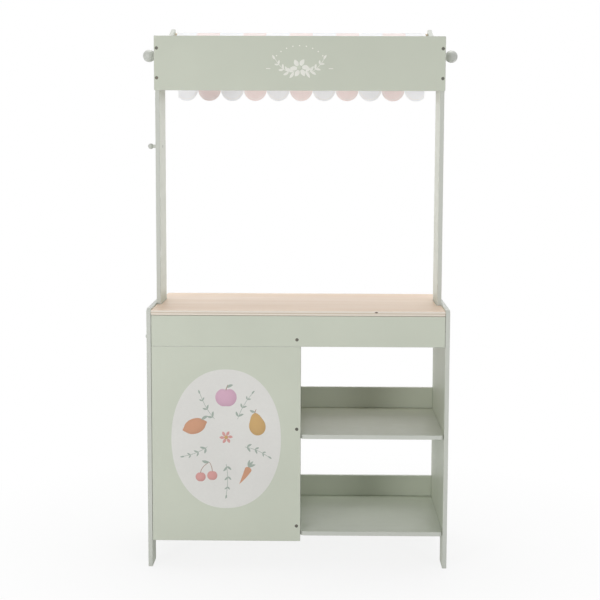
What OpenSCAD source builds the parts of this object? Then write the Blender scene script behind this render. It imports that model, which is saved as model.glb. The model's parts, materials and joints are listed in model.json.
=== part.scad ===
// Toy market stall: a cabinet with a serving counter, two posts with a header board,
// and a striped cloth awning that tilts on clamp knobs.
// Millimetres, +Z up. The serving side faces -Y and the market side faces +Y.
// The origin lies on the floor, under the middle of the stall's outer box.

/* [Cabinet] */
// Width over the two side panels
stall_w = 620; // [520:1:760]
// Depth of the side panels
side_d = 312; // [280:1:380]
// Thickness of the painted boards
board_t = 9; // [8:0.5:12]
// Radius of the upper corners of the side panels
side_corner_r = 10; // [2:1:30]
// Depth of each foot of the side panels
foot_d = 60; // [40:1:100]
// Height of the gap between the feet
foot_gap_h = 56; // [30:1:60]
// Radius in the upper corners of the foot gap
foot_gap_r = 12; // [4:1:25]

/* [Counter] */
// Height of the upper face of the counter above the floor
counter_h = 538; // [500:1:620]
// Thickness of the counter board
counter_t = 10; // [9:0.5:18]
// How far the counter stands out past the market side
counter_overhang = 20; // [0:1:35]
// How far the side panels rise above the counter
side_rise = 3; // [1:0.5:8]

/* [Fronts and divider] */
// Height of the aprons under the counter
apron_h = 64; // [50:1:90]
// How far the fronts lie behind the edges of the side panels
front_setback = 1; // [0:0.5:5]
// Height of the lower edge of the menu panel above the floor
menu_bottom = 56; // [40:1:60]
// Place of the middle of the divider, from the middle of the stall
divider_x = -2; // [-60:1:60]
// How far the menu panel laps past the divider
menu_lap = 3.5; // [1:0.5:8]

/* [Shelves] */
// Height of the upper face of the upper shelves
upper_shelf_h = 281; // [220:1:340]
// Height of the upper face of the lower shelves
lower_shelf_h = 77; // [72:1:110]
// How far the open shelves lie behind the edges of the side panels
shelf_setback = 2; // [0:0.5:8]
// Radius of the front corners of the open shelves
shelf_corner_r = 8; // [2:0.5:15]
// Height of the rails at the back of the open shelves
rail_h = 47; // [30:1:80]

/* [Posts and header] */
// Depth of the posts
post_d = 114; // [90:1:130]
// Distance of the posts behind the serving side
post_front = 109; // [90:1:130]
// Height of the tops of the posts above the floor
post_top_h = 1098; // [950:1:1250]
// Length of the posts below the counter
post_tail = 62; // [40:1:90]
// Height of the header board
header_h = 112; // [90:1:150]
// How far the header board stands out past each post
header_lip = 1; // [0:0.5:6]

/* [Awning] */
// Distance of the pivot below the tops of the posts
pivot_drop = 38; // [25:1:50]
// Length of the arms from the pivot to the front rod
arm_l = 193; // [150:1:240]
// Width of the arms
arm_w = 30; // [22:0.5:34]
// Angle of the arms above the level
awning_tilt = 16.5; // [0:0.5:30]
// Radius of the rear rod
rear_rod_r = 7.5; // [6.5:0.25:9]
// Radius of the front rod
front_rod_r = 6; // [5:0.25:7]
// Thickness of the cloth
cloth_t = 0.8; // [0.5:0.1:1.5]
// Gap between the cloth and each arm
cloth_side_gap = 5; // [2:0.5:12]
// Drop of the valance from the front rod to the scallops' lowest points
valance_drop = 143.5; // [110:0.5:180]
// Number of stripes, each with its scallop
stripe_count = 11; // [7:2:15]
// How much narrower the outer stripes are
end_trim = 7.4; // [0:0.1:12]

/* [Knobs and pegs] */
// Radius of the ball of a clamp knob
knob_r = 13; // [10:0.5:18]
// Radius of the neck of a clamp knob
knob_neck_r = 7.5; // [5.5:0.25:9]
// Length of the neck of a clamp knob
knob_neck_l = 5.5; // [3:0.5:12]
// Length of a hanging peg
peg_l = 22.5; // [18:0.5:40]
// Radius of the ball of a hanging peg
peg_ball_r = 6; // [5:0.25:9]
// Radius of the stem of a hanging peg
peg_stem_r = 3.5; // [3:0.25:5]
// Height of the upper peg above the floor
post_peg_h = 870; // [700:1:930]
// Distance of the lower peg below the post
side_peg_drop = 5; // [4.5:0.5:30]

/* [Fasteners] */
// Radius of the screw heads
screw_head_r = 3.5; // [3:0.1:4]
// Radius of the screw shanks
screw_r = 1.75; // [1.25:0.05:2]
// Length of the screws that join boards
screw_l = 30; // [22:1:40]
// Length of the screws that hold the posts
post_screw_l = 16; // [13:0.5:17]
// Length of the screws that hold the pegs
peg_screw_l = 20; // [16:0.5:24]
// Radius of the dowels in the divider
dowel_r = 2.5; // [2:0.1:3]
// Depth of a dowel in each shelf
dowel_bite = 12; // [8:1:20]
// Radius of the pivot studs
stud_r = 3; // [2.5:0.1:4]
// Depth of a pivot stud in the rear rod
stud_bite = 15; // [10:1:30]
// Thickness of the pivot washers
washer_t = 1; // [0.5:0.1:2]
// Radius of the pivot washers
washer_r = 9; // [7:0.5:11]

/* [Fits] */
// Radial clearance of fixed fasteners and dowels
fixed_gap = 0.05; // [0.02:0.01:0.1]
// Radial clearance of the pivot studs
run_gap = 0.06; // [0.03:0.01:0.1]
// Clearance of boards in their notches and of cloth on its rods
seat_gap = 0.3; // [0.2:0.05:0.6]

/* [Hidden] */
$fn = 64;
over = 1;

// Finishes
sage = [0.74, 0.76, 0.70];
pale_ply = [0.89, 0.82, 0.74];
bare_beech = [0.85, 0.76, 0.64];
ball_paint = [0.80, 0.80, 0.77];
cloth_pink = [0.84, 0.75, 0.73];
cloth_white = [0.92, 0.91, 0.89];
dark_steel = [0.32, 0.33, 0.30];
bright_steel = [0.70, 0.71, 0.72];

// Faces across the stall
inner_x = stall_w / 2 - board_t;
post_in_x = inner_x - board_t;
post_mid_x = inner_x - board_t / 2;
arm_out_x = post_in_x - washer_t;
arm_in_x = arm_out_x - board_t;
divider_left = divider_x - board_t / 2;
divider_right = divider_x + board_t / 2;
menu_right = divider_right + menu_lap;
header_x = inner_x + header_lip;

// Heights
side_h = counter_h + side_rise;
counter_under = counter_h - counter_t;
apron_bottom = counter_under - apron_h;
post_bottom = counter_under - post_tail;
header_bottom = post_top_h - header_h;
pivot_z = post_top_h - pivot_drop;
rod_z = pivot_z + arm_l * sin(awning_tilt);

// Depths, from the serving side's front plane back to the market side
pivot_reach = post_front + post_d / 2;
rod_reach = pivot_reach + arm_l * cos(awning_tilt);
overall_d = max(rod_reach + arm_w / 2, side_d + counter_overhang);
y_serve = -overall_d / 2;
y_market = y_serve + side_d;
fronts_y = y_serve + front_setback;
fronts_back = fronts_y + board_t;
rear_apron_back = y_market - front_setback;
rear_apron_y = rear_apron_back - board_t;
shelf_y = y_serve + shelf_setback;
rail_y = y_market - board_t;
post_y = y_serve + post_front;
post_back = post_y + post_d;
header_y = post_y - board_t;
pivot_y = y_serve + pivot_reach;
rod_y = y_serve + rod_reach;

// Cloth on its rods
cloth_x = arm_in_x - cloth_side_gap;
stripe_w = (2 * cloth_x + 2 * end_trim) / stripe_count;
valance_r = front_rod_r + seat_gap;
curl_r = max(rear_rod_r, valance_r + cloth_t) + seat_gap;
// Where the canopy's curl over the front rod ends, as an angle above the arms
curl_end = 55;
wedge_l = 3 * curl_r;
scallop_notch = 0.8;
scallop_r = (stripe_w - scallop_notch) / 2;
scallop_z = rod_z - valance_drop + scallop_r;

// Fastener places
header_screw_inset = 25.5;
header_screw_z = [post_top_h - header_screw_inset, header_bottom + header_screw_inset];
side_screw_inset = 40;
shelf_screw_y = [shelf_y + side_screw_inset, y_market - side_screw_inset];
shelf_mid_z = [upper_shelf_h - board_t / 2, lower_shelf_h - board_t / 2];
counter_screw_y = [y_serve + side_screw_inset, y_market - side_screw_inset];
counter_mid_z = counter_h - counter_t / 2;
apron_mid_z = counter_under - apron_h / 2;
fronts_mid_y = fronts_y + board_t / 2;
rear_apron_mid_y = rear_apron_y + board_t / 2;
menu_screw_z = [apron_bottom - side_screw_inset, menu_bottom + side_screw_inset];
post_screw_inset = 20;
post_screw_y = [post_y + post_screw_inset, post_back - post_screw_inset];
post_screw_z = post_bottom + post_tail / 2;
divider_apron_rise = 14.5;
divider_shelf_rise = 11.5;
divider_screw_z = [apron_bottom + divider_apron_rise, upper_shelf_h + divider_shelf_rise,
                   lower_shelf_h + divider_shelf_rise];
dowel_inset = 70;
dowel_y = [shelf_y + dowel_inset, y_market - dowel_inset];
rail_screw_inset = 50;
rail_screw_x = [divider_right + rail_screw_inset, inner_x - rail_screw_inset];
rail_mid_y = rail_y + board_t / 2;
side_peg_z = post_bottom - side_peg_drop;

// Knob and stud lengths from the middle of the stall
knob_mid_x = inner_x + knob_neck_l + knob_r;
stud_in_x = arm_in_x - stud_bite;
stud_out_x = knob_mid_x;

// Screw head and socket
screw_head_h = screw_head_r - screw_r;
socket_r = screw_head_r / 2;
socket_floor = 0.35;
socket_d = screw_head_h - socket_floor;

// A plain board between two corners
module board(low, high) {
    translate(low) cube(high - low);
}

// A flat outline in depth and height, carried from one face to another across the stall
module across(x0, x1) {
    translate([x0, 0, 0]) rotate([90, 0, 90]) linear_extrude(x1 - x0) children();
}

// What a rounded corner takes off a square one, with the corner at the origin
module corner_waste(r) {
    difference() {
        translate([-over, -over]) square(r + over);
        translate([r, r]) circle(r);
    }
}

// A countersunk screw that points along +Z, with its head flush at the origin
module screw(l, gap = 0) {
    difference() {
        union() {
            cylinder(h = screw_head_h, r1 = screw_head_r + gap, r2 = screw_r + gap);
            cylinder(h = l + gap, r = screw_r + gap);
        }
        if (gap == 0) translate([0, 0, -over]) cylinder(h = socket_d + over, r = socket_r, $fn = 6);
    }
}

// Screws and holes share these places: a gap above zero gives the holes
module side_screw(side, y, z, l, gap) {
    translate([side * stall_w / 2, y, z]) rotate([0, -side * 90, 0]) screw(l, gap);
}

module counter_end_screws(side, gap = 0) {
    for (y = counter_screw_y) side_screw(side, y, counter_mid_z, screw_l, gap);
}

module apron_end_screws(side, gap = 0) {
    for (y = [fronts_mid_y, rear_apron_mid_y]) side_screw(side, y, apron_mid_z, screw_l, gap);
}

module menu_end_screws(gap = 0) {
    for (z = menu_screw_z) side_screw(-1, fronts_mid_y, z, screw_l, gap);
}

module shelf_end_screws(side, gap = 0) {
    for (y = shelf_screw_y) for (z = shelf_mid_z) side_screw(side, y, z, screw_l, gap);
}

module post_foot_screws(side, gap = 0) {
    for (y = post_screw_y) side_screw(side, y, post_screw_z, post_screw_l, gap);
}

module header_fixings(gap = 0) {
    for (side = [-1, 1]) for (z = header_screw_z)
        translate([side * post_mid_x, header_y, z]) rotate([-90, 0, 0]) screw(screw_l, gap);
}

module divider_fixings(gap = 0) {
    for (z = divider_screw_z)
        translate([divider_x, fronts_y, z]) rotate([-90, 0, 0]) screw(screw_l, gap);
    translate([divider_x, rear_apron_back, apron_mid_z]) rotate([90, 0, 0]) screw(screw_l, gap);
}

module rail_fixings(gap = 0) {
    for (x = rail_screw_x) for (z = [upper_shelf_h, lower_shelf_h])
        translate([x, rail_mid_y, z - board_t]) screw(screw_l, gap);
}

module peg_fixings(gap = 0) {
    translate([-post_in_x, pivot_y, post_peg_h]) rotate([0, -90, 0]) screw(peg_screw_l, gap);
    translate([-inner_x, pivot_y, side_peg_z]) rotate([0, -90, 0]) screw(peg_screw_l, gap);
}

module arm_fixings(gap = 0) {
    for (side = [-1, 1])
        translate([side * arm_out_x, rod_y, rod_z]) rotate([0, -side * 90, 0]) screw(screw_l, gap);
}

module dowel_places(gap = 0) {
    for (y = dowel_y) for (z = shelf_mid_z)
        translate([divider_left - dowel_bite - gap, y, z]) rotate([0, 90, 0])
            cylinder(h = board_t + 2 * (dowel_bite + gap), r = dowel_r + gap);
}

module stud_places(gap = 0) {
    for (side = [0, 1]) mirror([side, 0, 0])
        translate([stud_in_x - gap, pivot_y, pivot_z]) rotate([0, 90, 0])
            cylinder(h = stud_out_x - stud_in_x + 2 * gap, r = stud_r + gap);
}

// Cabinet boards
module side_panel(side) {
    gap_top_r = min(foot_gap_r, foot_gap_h - over);
    x0 = side > 0 ? inner_x : -stall_w / 2;
    difference() {
        across(x0, x0 + board_t) difference() {
            translate([y_serve, 0]) square([side_d, side_h]);
            translate([y_serve, side_h]) mirror([0, 1]) corner_waste(side_corner_r);
            translate([y_market, side_h]) mirror([1, 0]) mirror([0, 1]) corner_waste(side_corner_r);
            difference() {
                translate([y_serve + foot_d, -over]) square([side_d - 2 * foot_d, foot_gap_h + over]);
                translate([y_serve + foot_d, foot_gap_h]) mirror([0, 1]) corner_waste(gap_top_r);
                translate([y_market - foot_d, foot_gap_h]) mirror([1, 0]) mirror([0, 1])
                    corner_waste(gap_top_r);
            }
        }
        counter_end_screws(side, fixed_gap);
        apron_end_screws(side, fixed_gap);
        shelf_end_screws(side, fixed_gap);
        post_foot_screws(side, fixed_gap);
        if (side < 0) menu_end_screws(fixed_gap);
        if (side < 0) peg_fixings(fixed_gap);
    }
}

module left_side_panel() color(sage) side_panel(-1);

module right_side_panel() color(sage) side_panel(1);

module counter_top() color(pale_ply) difference() {
    board([-inner_x, y_serve, counter_under], [inner_x, y_market + counter_overhang, counter_h]);
    for (side = [0, 1]) mirror([side, 0, 0])
        board([post_in_x - seat_gap, post_y - seat_gap, counter_under - over],
              [inner_x + over, post_back + seat_gap, counter_h + over]);
    for (side = [-1, 1]) counter_end_screws(side, fixed_gap);
}

module apron(y) {
    difference() {
        board([-inner_x, y, apron_bottom], [inner_x, y + board_t, counter_under]);
        for (side = [-1, 1]) apron_end_screws(side, fixed_gap);
        divider_fixings(fixed_gap);
    }
}

module front_apron() color(sage) apron(fronts_y);

module rear_apron() color(sage) apron(rear_apron_y);

module menu_panel() color(sage) difference() {
    board([-inner_x, fronts_y, menu_bottom], [menu_right, fronts_back, apron_bottom]);
    menu_end_screws(fixed_gap);
    divider_fixings(fixed_gap);
}

module divider_panel() color(sage) difference() {
    board([divider_left, fronts_back, menu_bottom], [divider_right, y_market, counter_under]);
    board([divider_left - over, rear_apron_y, apron_bottom],
          [divider_right + over, y_market + over, counter_under + over]);
    divider_fixings(fixed_gap);
    dowel_places(fixed_gap);
}

// Open shelves on the right, reached from the serving side
module right_shelf(top) {
    strip_x = menu_right + seat_gap;
    strip_back = fronts_back + seat_gap;
    difference() {
        translate([0, 0, top - board_t]) linear_extrude(board_t) difference() {
            translate([divider_right, shelf_y]) square([inner_x - divider_right, y_market - shelf_y]);
            translate([divider_right - over, shelf_y - over])
                square([strip_x - divider_right + over, strip_back - shelf_y + over]);
            translate([strip_x, shelf_y]) corner_waste(min(shelf_corner_r, strip_back - shelf_y));
            translate([inner_x, shelf_y]) mirror([1, 0]) corner_waste(shelf_corner_r);
        }
        shelf_end_screws(1, fixed_gap);
        dowel_places(fixed_gap);
        rail_fixings(fixed_gap);
    }
}

module right_upper_shelf() color(sage) right_shelf(upper_shelf_h);

module right_lower_shelf() color(sage) right_shelf(lower_shelf_h);

module rail(bottom) {
    difference() {
        board([divider_right, rail_y, bottom], [inner_x, y_market, bottom + rail_h]);
        rail_fixings(fixed_gap);
    }
}

module upper_rail() color(sage) rail(upper_shelf_h);

module lower_rail() color(sage) rail(lower_shelf_h);

// Shelves behind the menu panel, reached from the market side
module left_shelf(top) {
    difference() {
        board([-inner_x, fronts_back, top - board_t], [divider_left, y_market, top]);
        shelf_end_screws(-1, fixed_gap);
        dowel_places(fixed_gap);
    }
}

module left_upper_shelf() color(sage) left_shelf(upper_shelf_h);

module left_lower_shelf() color(sage) left_shelf(lower_shelf_h);

// Posts and header
module post(side) {
    x0 = side > 0 ? post_in_x : -inner_x;
    difference() {
        board([x0, post_y, post_bottom], [x0 + board_t, post_back, post_top_h]);
        post_foot_screws(side, fixed_gap);
        header_fixings(fixed_gap);
        stud_places(run_gap);
        if (side < 0) peg_fixings(fixed_gap);
    }
}

module left_post() color(sage) post(-1);

module right_post() color(sage) post(1);

module header_board() color(sage) difference() {
    board([-header_x, header_y, header_bottom], [header_x, post_y, post_top_h]);
    header_fixings(fixed_gap);
}

// Awning: the local depth axis runs along the arms from the pivot
module on_pivot() {
    translate([0, pivot_y, pivot_z]) rotate([awning_tilt, 0, 0]) children();
}

module arm(side) {
    x0 = side > 0 ? arm_in_x : -arm_out_x;
    difference() {
        on_pivot() across(x0, x0 + board_t) union() {
            circle(arm_w / 2);
            translate([0, -arm_w / 2]) square([arm_l, arm_w]);
            translate([arm_l, 0]) circle(arm_w / 2);
        }
        stud_places(run_gap);
        arm_fixings(fixed_gap);
    }
}

module left_arm() color(sage) arm(-1);

module right_arm() color(sage) arm(1);

module rod(y, z, r) {
    difference() {
        translate([-arm_in_x, y, z]) rotate([0, 90, 0]) cylinder(h = 2 * arm_in_x, r = r);
        stud_places(run_gap);
        arm_fixings(fixed_gap);
    }
}

module rear_rod() color(bare_beech) rod(pivot_y, pivot_z, rear_rod_r);

module front_rod() color(bare_beech) rod(rod_y, rod_z, front_rod_r);

// A closed sleeve of cloth
module sleeve(r) {
    difference() {
        circle(r + cloth_t);
        circle(r);
    }
}

module canopy_cloth() color(cloth_pink) on_pivot() across(-cloth_x, cloth_x) union() {
    sleeve(curl_r);
    translate([0, curl_r]) square([arm_l, cloth_t]);
    translate([arm_l, 0]) intersection() {
        sleeve(curl_r);
        polygon([[0, 0], [0, wedge_l], wedge_l * [cos(curl_end), sin(curl_end)]]);
    }
}

// The valance hangs on its own sleeve, cut to a row of scallops at the bottom
module valance_cloth() color(cloth_white) intersection() {
    translate([0, rod_y, rod_z]) across(-cloth_x, cloth_x) union() {
        sleeve(valance_r);
        translate([valance_r, -valance_drop - over]) square([cloth_t, valance_drop + over]);
    }
    translate([0, rod_y + arm_w, 0]) rotate([90, 0, 0]) linear_extrude(2 * arm_w) union() {
        translate([-cloth_x - over, scallop_z]) square([2 * (cloth_x + over), rod_z + arm_w - scallop_z]);
        for (i = [0 : stripe_count - 1])
            translate([(i - (stripe_count - 1) / 2) * stripe_w, scallop_z]) circle(scallop_r);
    }
}

// A turned ball on a stem that starts at the origin and points along +Z, l long in all
module turned_ball(ball_r, stem_r, l) {
    rotate_extrude() intersection() {
        union() {
            translate([0, l - ball_r]) circle(ball_r);
            square([stem_r, l - ball_r]);
        }
        square([ball_r + over, l + over]);
    }
}

// Clamp knobs on the pivot studs
module knob(side) {
    difference() {
        translate([side * inner_x, pivot_y, pivot_z]) rotate([0, side * 90, 0])
            turned_ball(knob_r, knob_neck_r, knob_neck_l + 2 * knob_r);
        stud_places(run_gap);
    }
}

module left_knob() color(ball_paint) knob(-1);

module right_knob() color(ball_paint) knob(1);

// Hanging pegs on the left side, each with a round head on a stem
module peg(x, z) {
    difference() {
        translate([x, pivot_y, z]) rotate([0, -90, 0]) turned_ball(peg_ball_r, peg_stem_r, peg_l);
        peg_fixings(fixed_gap);
    }
}

module post_peg() color(ball_paint) peg(-inner_x, post_peg_h);

module side_peg() color(ball_paint) peg(-stall_w / 2, side_peg_z);

// Fasteners
module header_screws() color(dark_steel) header_fixings();

module divider_screws() color(dark_steel) divider_fixings();

module side_screw_set(side) {
    counter_end_screws(side);
    apron_end_screws(side);
    shelf_end_screws(side);
    post_foot_screws(side);
    if (side < 0) menu_end_screws();
}

module left_side_screws() color(dark_steel) side_screw_set(-1);

module right_side_screws() color(dark_steel) side_screw_set(1);

module rail_screws() color(dark_steel) rail_fixings();

module peg_screws() color(dark_steel) peg_fixings();

module arm_screws() color(dark_steel) arm_fixings();

module shelf_dowels() color(bare_beech) dowel_places();

module pivot_studs() color(bright_steel) stud_places();

module pivot_washers() color(bright_steel)
    for (side = [0, 1]) mirror([side, 0, 0])
        translate([arm_out_x, pivot_y, pivot_z]) rotate([0, 90, 0]) difference() {
            cylinder(h = washer_t, r = washer_r);
            translate([0, 0, -over]) cylinder(h = washer_t + 2 * over, r = stud_r + run_gap);
        }

left_side_panel();
right_side_panel();
counter_top();
front_apron();
rear_apron();
menu_panel();
divider_panel();
right_upper_shelf();
right_lower_shelf();
upper_rail();
lower_rail();
left_upper_shelf();
left_lower_shelf();
left_post();
right_post();
header_board();
left_arm();
right_arm();
rear_rod();
front_rod();
canopy_cloth();
valance_cloth();
left_knob();
right_knob();
post_peg();
side_peg();
header_screws();
divider_screws();
left_side_screws();
right_side_screws();
rail_screws();
peg_screws();
arm_screws();
shelf_dowels();
pivot_studs();
pivot_washers();
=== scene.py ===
"""Toy market stall: painted boards, a plywood counter, a striped awning and two prints.

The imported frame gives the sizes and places. Lengths are in metres, and the serving side faces -Y.
"""

import inspect
import json
import math
from types import SimpleNamespace

import bpy
import numpy as np
from mathutils import Matrix, Vector
from mathutils.geometry import tessellate_polygon

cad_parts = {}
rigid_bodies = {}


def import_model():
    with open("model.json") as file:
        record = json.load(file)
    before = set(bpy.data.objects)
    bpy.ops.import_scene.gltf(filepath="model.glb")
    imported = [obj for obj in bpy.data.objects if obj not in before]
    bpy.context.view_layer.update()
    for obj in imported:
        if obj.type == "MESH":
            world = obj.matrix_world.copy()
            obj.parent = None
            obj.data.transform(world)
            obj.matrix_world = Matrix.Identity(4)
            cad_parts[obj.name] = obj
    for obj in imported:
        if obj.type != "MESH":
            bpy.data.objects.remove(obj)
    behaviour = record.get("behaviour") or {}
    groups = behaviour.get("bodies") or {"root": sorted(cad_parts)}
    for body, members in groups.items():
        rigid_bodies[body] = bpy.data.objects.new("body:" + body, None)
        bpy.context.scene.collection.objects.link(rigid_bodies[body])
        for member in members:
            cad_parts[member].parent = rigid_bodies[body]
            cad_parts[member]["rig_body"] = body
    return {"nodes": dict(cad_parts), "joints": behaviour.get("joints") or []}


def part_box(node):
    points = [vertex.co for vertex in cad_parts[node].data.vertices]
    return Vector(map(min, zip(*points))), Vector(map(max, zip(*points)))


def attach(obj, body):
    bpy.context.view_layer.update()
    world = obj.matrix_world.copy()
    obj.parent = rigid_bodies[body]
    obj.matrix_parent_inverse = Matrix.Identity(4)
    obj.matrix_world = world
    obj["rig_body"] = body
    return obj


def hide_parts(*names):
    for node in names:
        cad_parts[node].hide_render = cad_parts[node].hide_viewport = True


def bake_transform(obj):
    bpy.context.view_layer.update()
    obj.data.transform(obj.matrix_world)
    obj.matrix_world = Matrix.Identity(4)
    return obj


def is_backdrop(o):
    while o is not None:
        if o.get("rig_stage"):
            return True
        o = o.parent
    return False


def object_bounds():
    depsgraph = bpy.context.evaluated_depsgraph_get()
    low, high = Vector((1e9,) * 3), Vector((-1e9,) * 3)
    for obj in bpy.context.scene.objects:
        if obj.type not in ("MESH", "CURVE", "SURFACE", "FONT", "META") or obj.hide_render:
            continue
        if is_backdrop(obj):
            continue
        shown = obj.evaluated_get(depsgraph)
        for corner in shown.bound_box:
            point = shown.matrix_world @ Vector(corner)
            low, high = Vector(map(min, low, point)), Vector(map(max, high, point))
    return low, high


bl_info = {
    "name": "Toy market stall",
    "version": (1, 0, 0),
    "blender": (4, 5, 0),
    "location": "3D View > Sidebar > Stall",
    "description": "Dresses the frame of a toy market stall with boards, cloth, prints and finishes",
    "category": "Add Mesh",
}

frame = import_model()
cad_low, cad_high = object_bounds()

MM = 0.001
JOINT_PLACE = {joint["name"]: np.array(joint["pos_m"]) for joint in frame["joints"]}
PIVOT = JOINT_PLACE["awning_tilt"]
FRONT_ROD = JOINT_PLACE["valance_swing"]
SCREW_NODES = [name for name in frame["nodes"] if name.endswith("_screws")]
WHITE = (1.0, 1.0, 1.0, 1.0)


# Sizes and colours that a user would change


def number(name, description, default, kind, **limits):
    """A number property whose kind is its unit."""
    return bpy.props.FloatProperty(
        name=name, description=description, default=default, unit=kind, **limits
    )


def length(name, description, millimetres, lowest=0.0, highest=1000.0):
    """A length property, given in millimetres."""
    return number(name, description, millimetres * MM, "LENGTH", min=lowest * MM, max=highest * MM)


def length_pair(name, description, across, up):
    """A property of two lengths, given in millimetres."""
    return bpy.props.FloatVectorProperty(
        name=name, description=description, size=2, default=(across * MM, up * MM), unit="LENGTH"
    )


def display_colour(name, description, red, green, blue):
    """A colour property that holds display values from 0 to 1, given from 0 to 255."""
    return bpy.props.FloatVectorProperty(
        name=name,
        description=description,
        subtype="COLOR_GAMMA",
        size=3,
        min=0.0,
        max=1.0,
        default=(red / 255, green / 255, blue / 255),
    )


class StallSizes(bpy.types.PropertyGroup):
    """Sizes of the boards' details, the cloth and the prints."""

    edge_ease: length("Board easing", "Radius of the painted boards' sanded edges", 1.0, 0.2, 2.0)
    counter_ease: length("Counter easing", "Radius of the counter's sanded edges", 1.5, 0.2, 4.0)
    side_corner: length("Side panel corner", "Radius of the upper corners of the side panels", 10.0)
    foot_depth: length("Foot depth", "Depth of each foot of the side panels", 60.0)
    foot_gap_height: length("Foot gap height", "Height of the gap between the feet", 56.0)
    foot_gap_corner: length("Foot gap corner", "Radius in the corners of the gap between the feet", 12.0)
    shelf_corner: length("Shelf corner", "Radius of the front corners of the open shelves", 8.0)
    seat_gap: length("Seat gap", "Clearance of the boards in their notches", 0.3)
    front_gap: length("Front gap", "Gap between the fronts and the counter and side panels", 0.5)
    cloth_thickness: length("Cloth thickness", "Thickness of the awning's canvas", 0.7)
    cloth_sag: length("Cloth sag", "How far the canopy hangs below a line between its rods", 3.0)
    cloth_wave: length("Valance wave", "How far the valance leaves a flat plane at its hem", 1.6)
    stripe_count: bpy.props.IntProperty(
        name="Stripes", description="Number of stripes, each with its scallop", default=11, min=3
    )
    stripe_trim: length("Outer stripe trim", "How much narrower each outer stripe is", 7.4)
    oval_size: length_pair("Oval size", "Width and height of the print on the menu panel", 226.0, 291.0)
    oval_centre: length_pair("Oval place", "Middle of that print, across and up", -147.5, 271.0)
    garland_size: length_pair("Garland size", "Width and height of the print on the header", 139.0, 78.0)


class StallColours(bpy.types.PropertyGroup):
    """Colours of the finishes and inks."""

    sage: display_colour("Sage paint", "Paint on the boards' faces", 199, 204, 189)
    sage_edge: display_colour("Sage edge", "Paint on the boards' cut edges", 199, 202, 194)
    # The rim colour is partly paint worn thin and partly a painted highlight on the eased edges.
    sage_rim: display_colour("Sage rim", "Thin paint on the sanded rims", 214, 216, 208)
    counter_light: display_colour("Counter wood", "Pale wood of the counter", 243, 220, 198)
    counter_dark: display_colour("Counter grain", "Grain lines of the counter", 230, 203, 175)
    counter_edge: display_colour("Counter edge", "Cut edge of the counter", 231, 223, 211)
    # This colour is also painted shade on the counter's lower rim.
    counter_ply: display_colour("Counter ply", "End grain of the counter's middle ply", 198, 182, 162)
    # The counter rim colour is a painted highlight on the upper eased edge.
    counter_rim: display_colour("Counter rim", "Sanded upper rim of the counter", 252, 238, 226)
    knot: display_colour("Knot", "Small knot in the counter's front edge", 92, 80, 68)
    beech_light: display_colour("Rod wood", "Pale wood of the rods and dowels", 229, 212, 188)
    beech_dark: display_colour("Rod grain", "Grain lines of the rods and dowels", 207, 183, 152)
    ball: display_colour("Ball paint", "Paint on the knobs and pegs", 208, 210, 204)
    cloth_white: display_colour("White stripe", "White stripes of the awning", 242, 244, 255)
    cloth_pink: display_colour("Pink stripe", "Dusty pink stripes of the awning", 244, 223, 220)
    thread: display_colour("Thread", "Sewing thread of the awning", 240, 236, 232)
    screw: display_colour("Screws", "Dark finish of the screws", 104, 106, 98)
    steel: display_colour("Steel", "Plated studs and washers", 190, 192, 194)
    oval: display_colour("Oval ink", "Pale ground of the printed oval", 219, 218, 214)
    garland: display_colour("Garland ink", "Pale ink on the header board", 233, 233, 225)
    leaf: display_colour("Leaf ink", "Grey-green ink of the printed leaves", 158, 170, 160)
    mauve: display_colour("Mauve ink", "Mauve ink of the prints", 203, 165, 184)
    rose: display_colour("Rose ink", "Rose ink of the prints", 205, 152, 147)
    clay: display_colour("Clay ink", "Clay ink of the prints", 198, 148, 118)
    ochre: display_colour("Ochre ink", "Ochre ink of the prints", 193, 158, 104)
    bark: display_colour("Bark ink", "Brown ink of stems and outlines", 150, 108, 84)


class StallStage(bpy.types.PropertyGroup):
    """Camera and lights."""

    lens: number("Lens", "Focal length for a sensor 36 mm wide", 84.53, "CAMERA")
    camera_place: bpy.props.FloatVectorProperty(
        name="Camera place",
        description="Where the camera stands",
        subtype="TRANSLATION",
        unit="LENGTH",
        default=(0.0431, -3.0333, 0.8852),
    )
    camera_yaw: number("Camera yaw", "Turn to the left", math.radians(0.788), "ROTATION")
    camera_pitch: number("Camera pitch", "Tilt below the level", math.radians(6.497), "ROTATION")
    camera_roll: number("Camera roll", "Roll about its own axis", math.radians(0.195), "ROTATION")
    key_power: number("Key power", "Power of the softbox at the left", 31.0, "POWER")
    fill_power: number("Fill power", "Power of the softbox at the right", 14.7, "POWER")
    back_power: number("Back power", "Power of the softbox behind the stall", 4.8, "POWER")
    top_power: number("Top power", "Power of the softbox above the stall", 30.0, "POWER")
    ambient: number("Ambient", "Strength of the even light from all round", 0.38, "NONE", min=0.0)


# Surfaces as arrays


def span(node):
    """Lowest and highest corner of a node of the frame, as two rows."""
    return np.array(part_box(node))


def mm(*values):
    """An array of lengths, given in millimetres."""
    return np.array(values) * MM


def unit(vectors):
    """Vectors brought to a length of one."""
    return vectors / np.linalg.norm(vectors, axis=-1, keepdims=True)


def ray(angle):
    """The way that each angle points: its cosine and its sine."""
    return np.stack([np.cos(angle), np.sin(angle)], axis=-1)


def rays_round(steps):
    """Ways that point evenly all round, anticlockwise."""
    return ray(np.linspace(0, 2 * np.pi, steps, endpoint=False))


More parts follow.
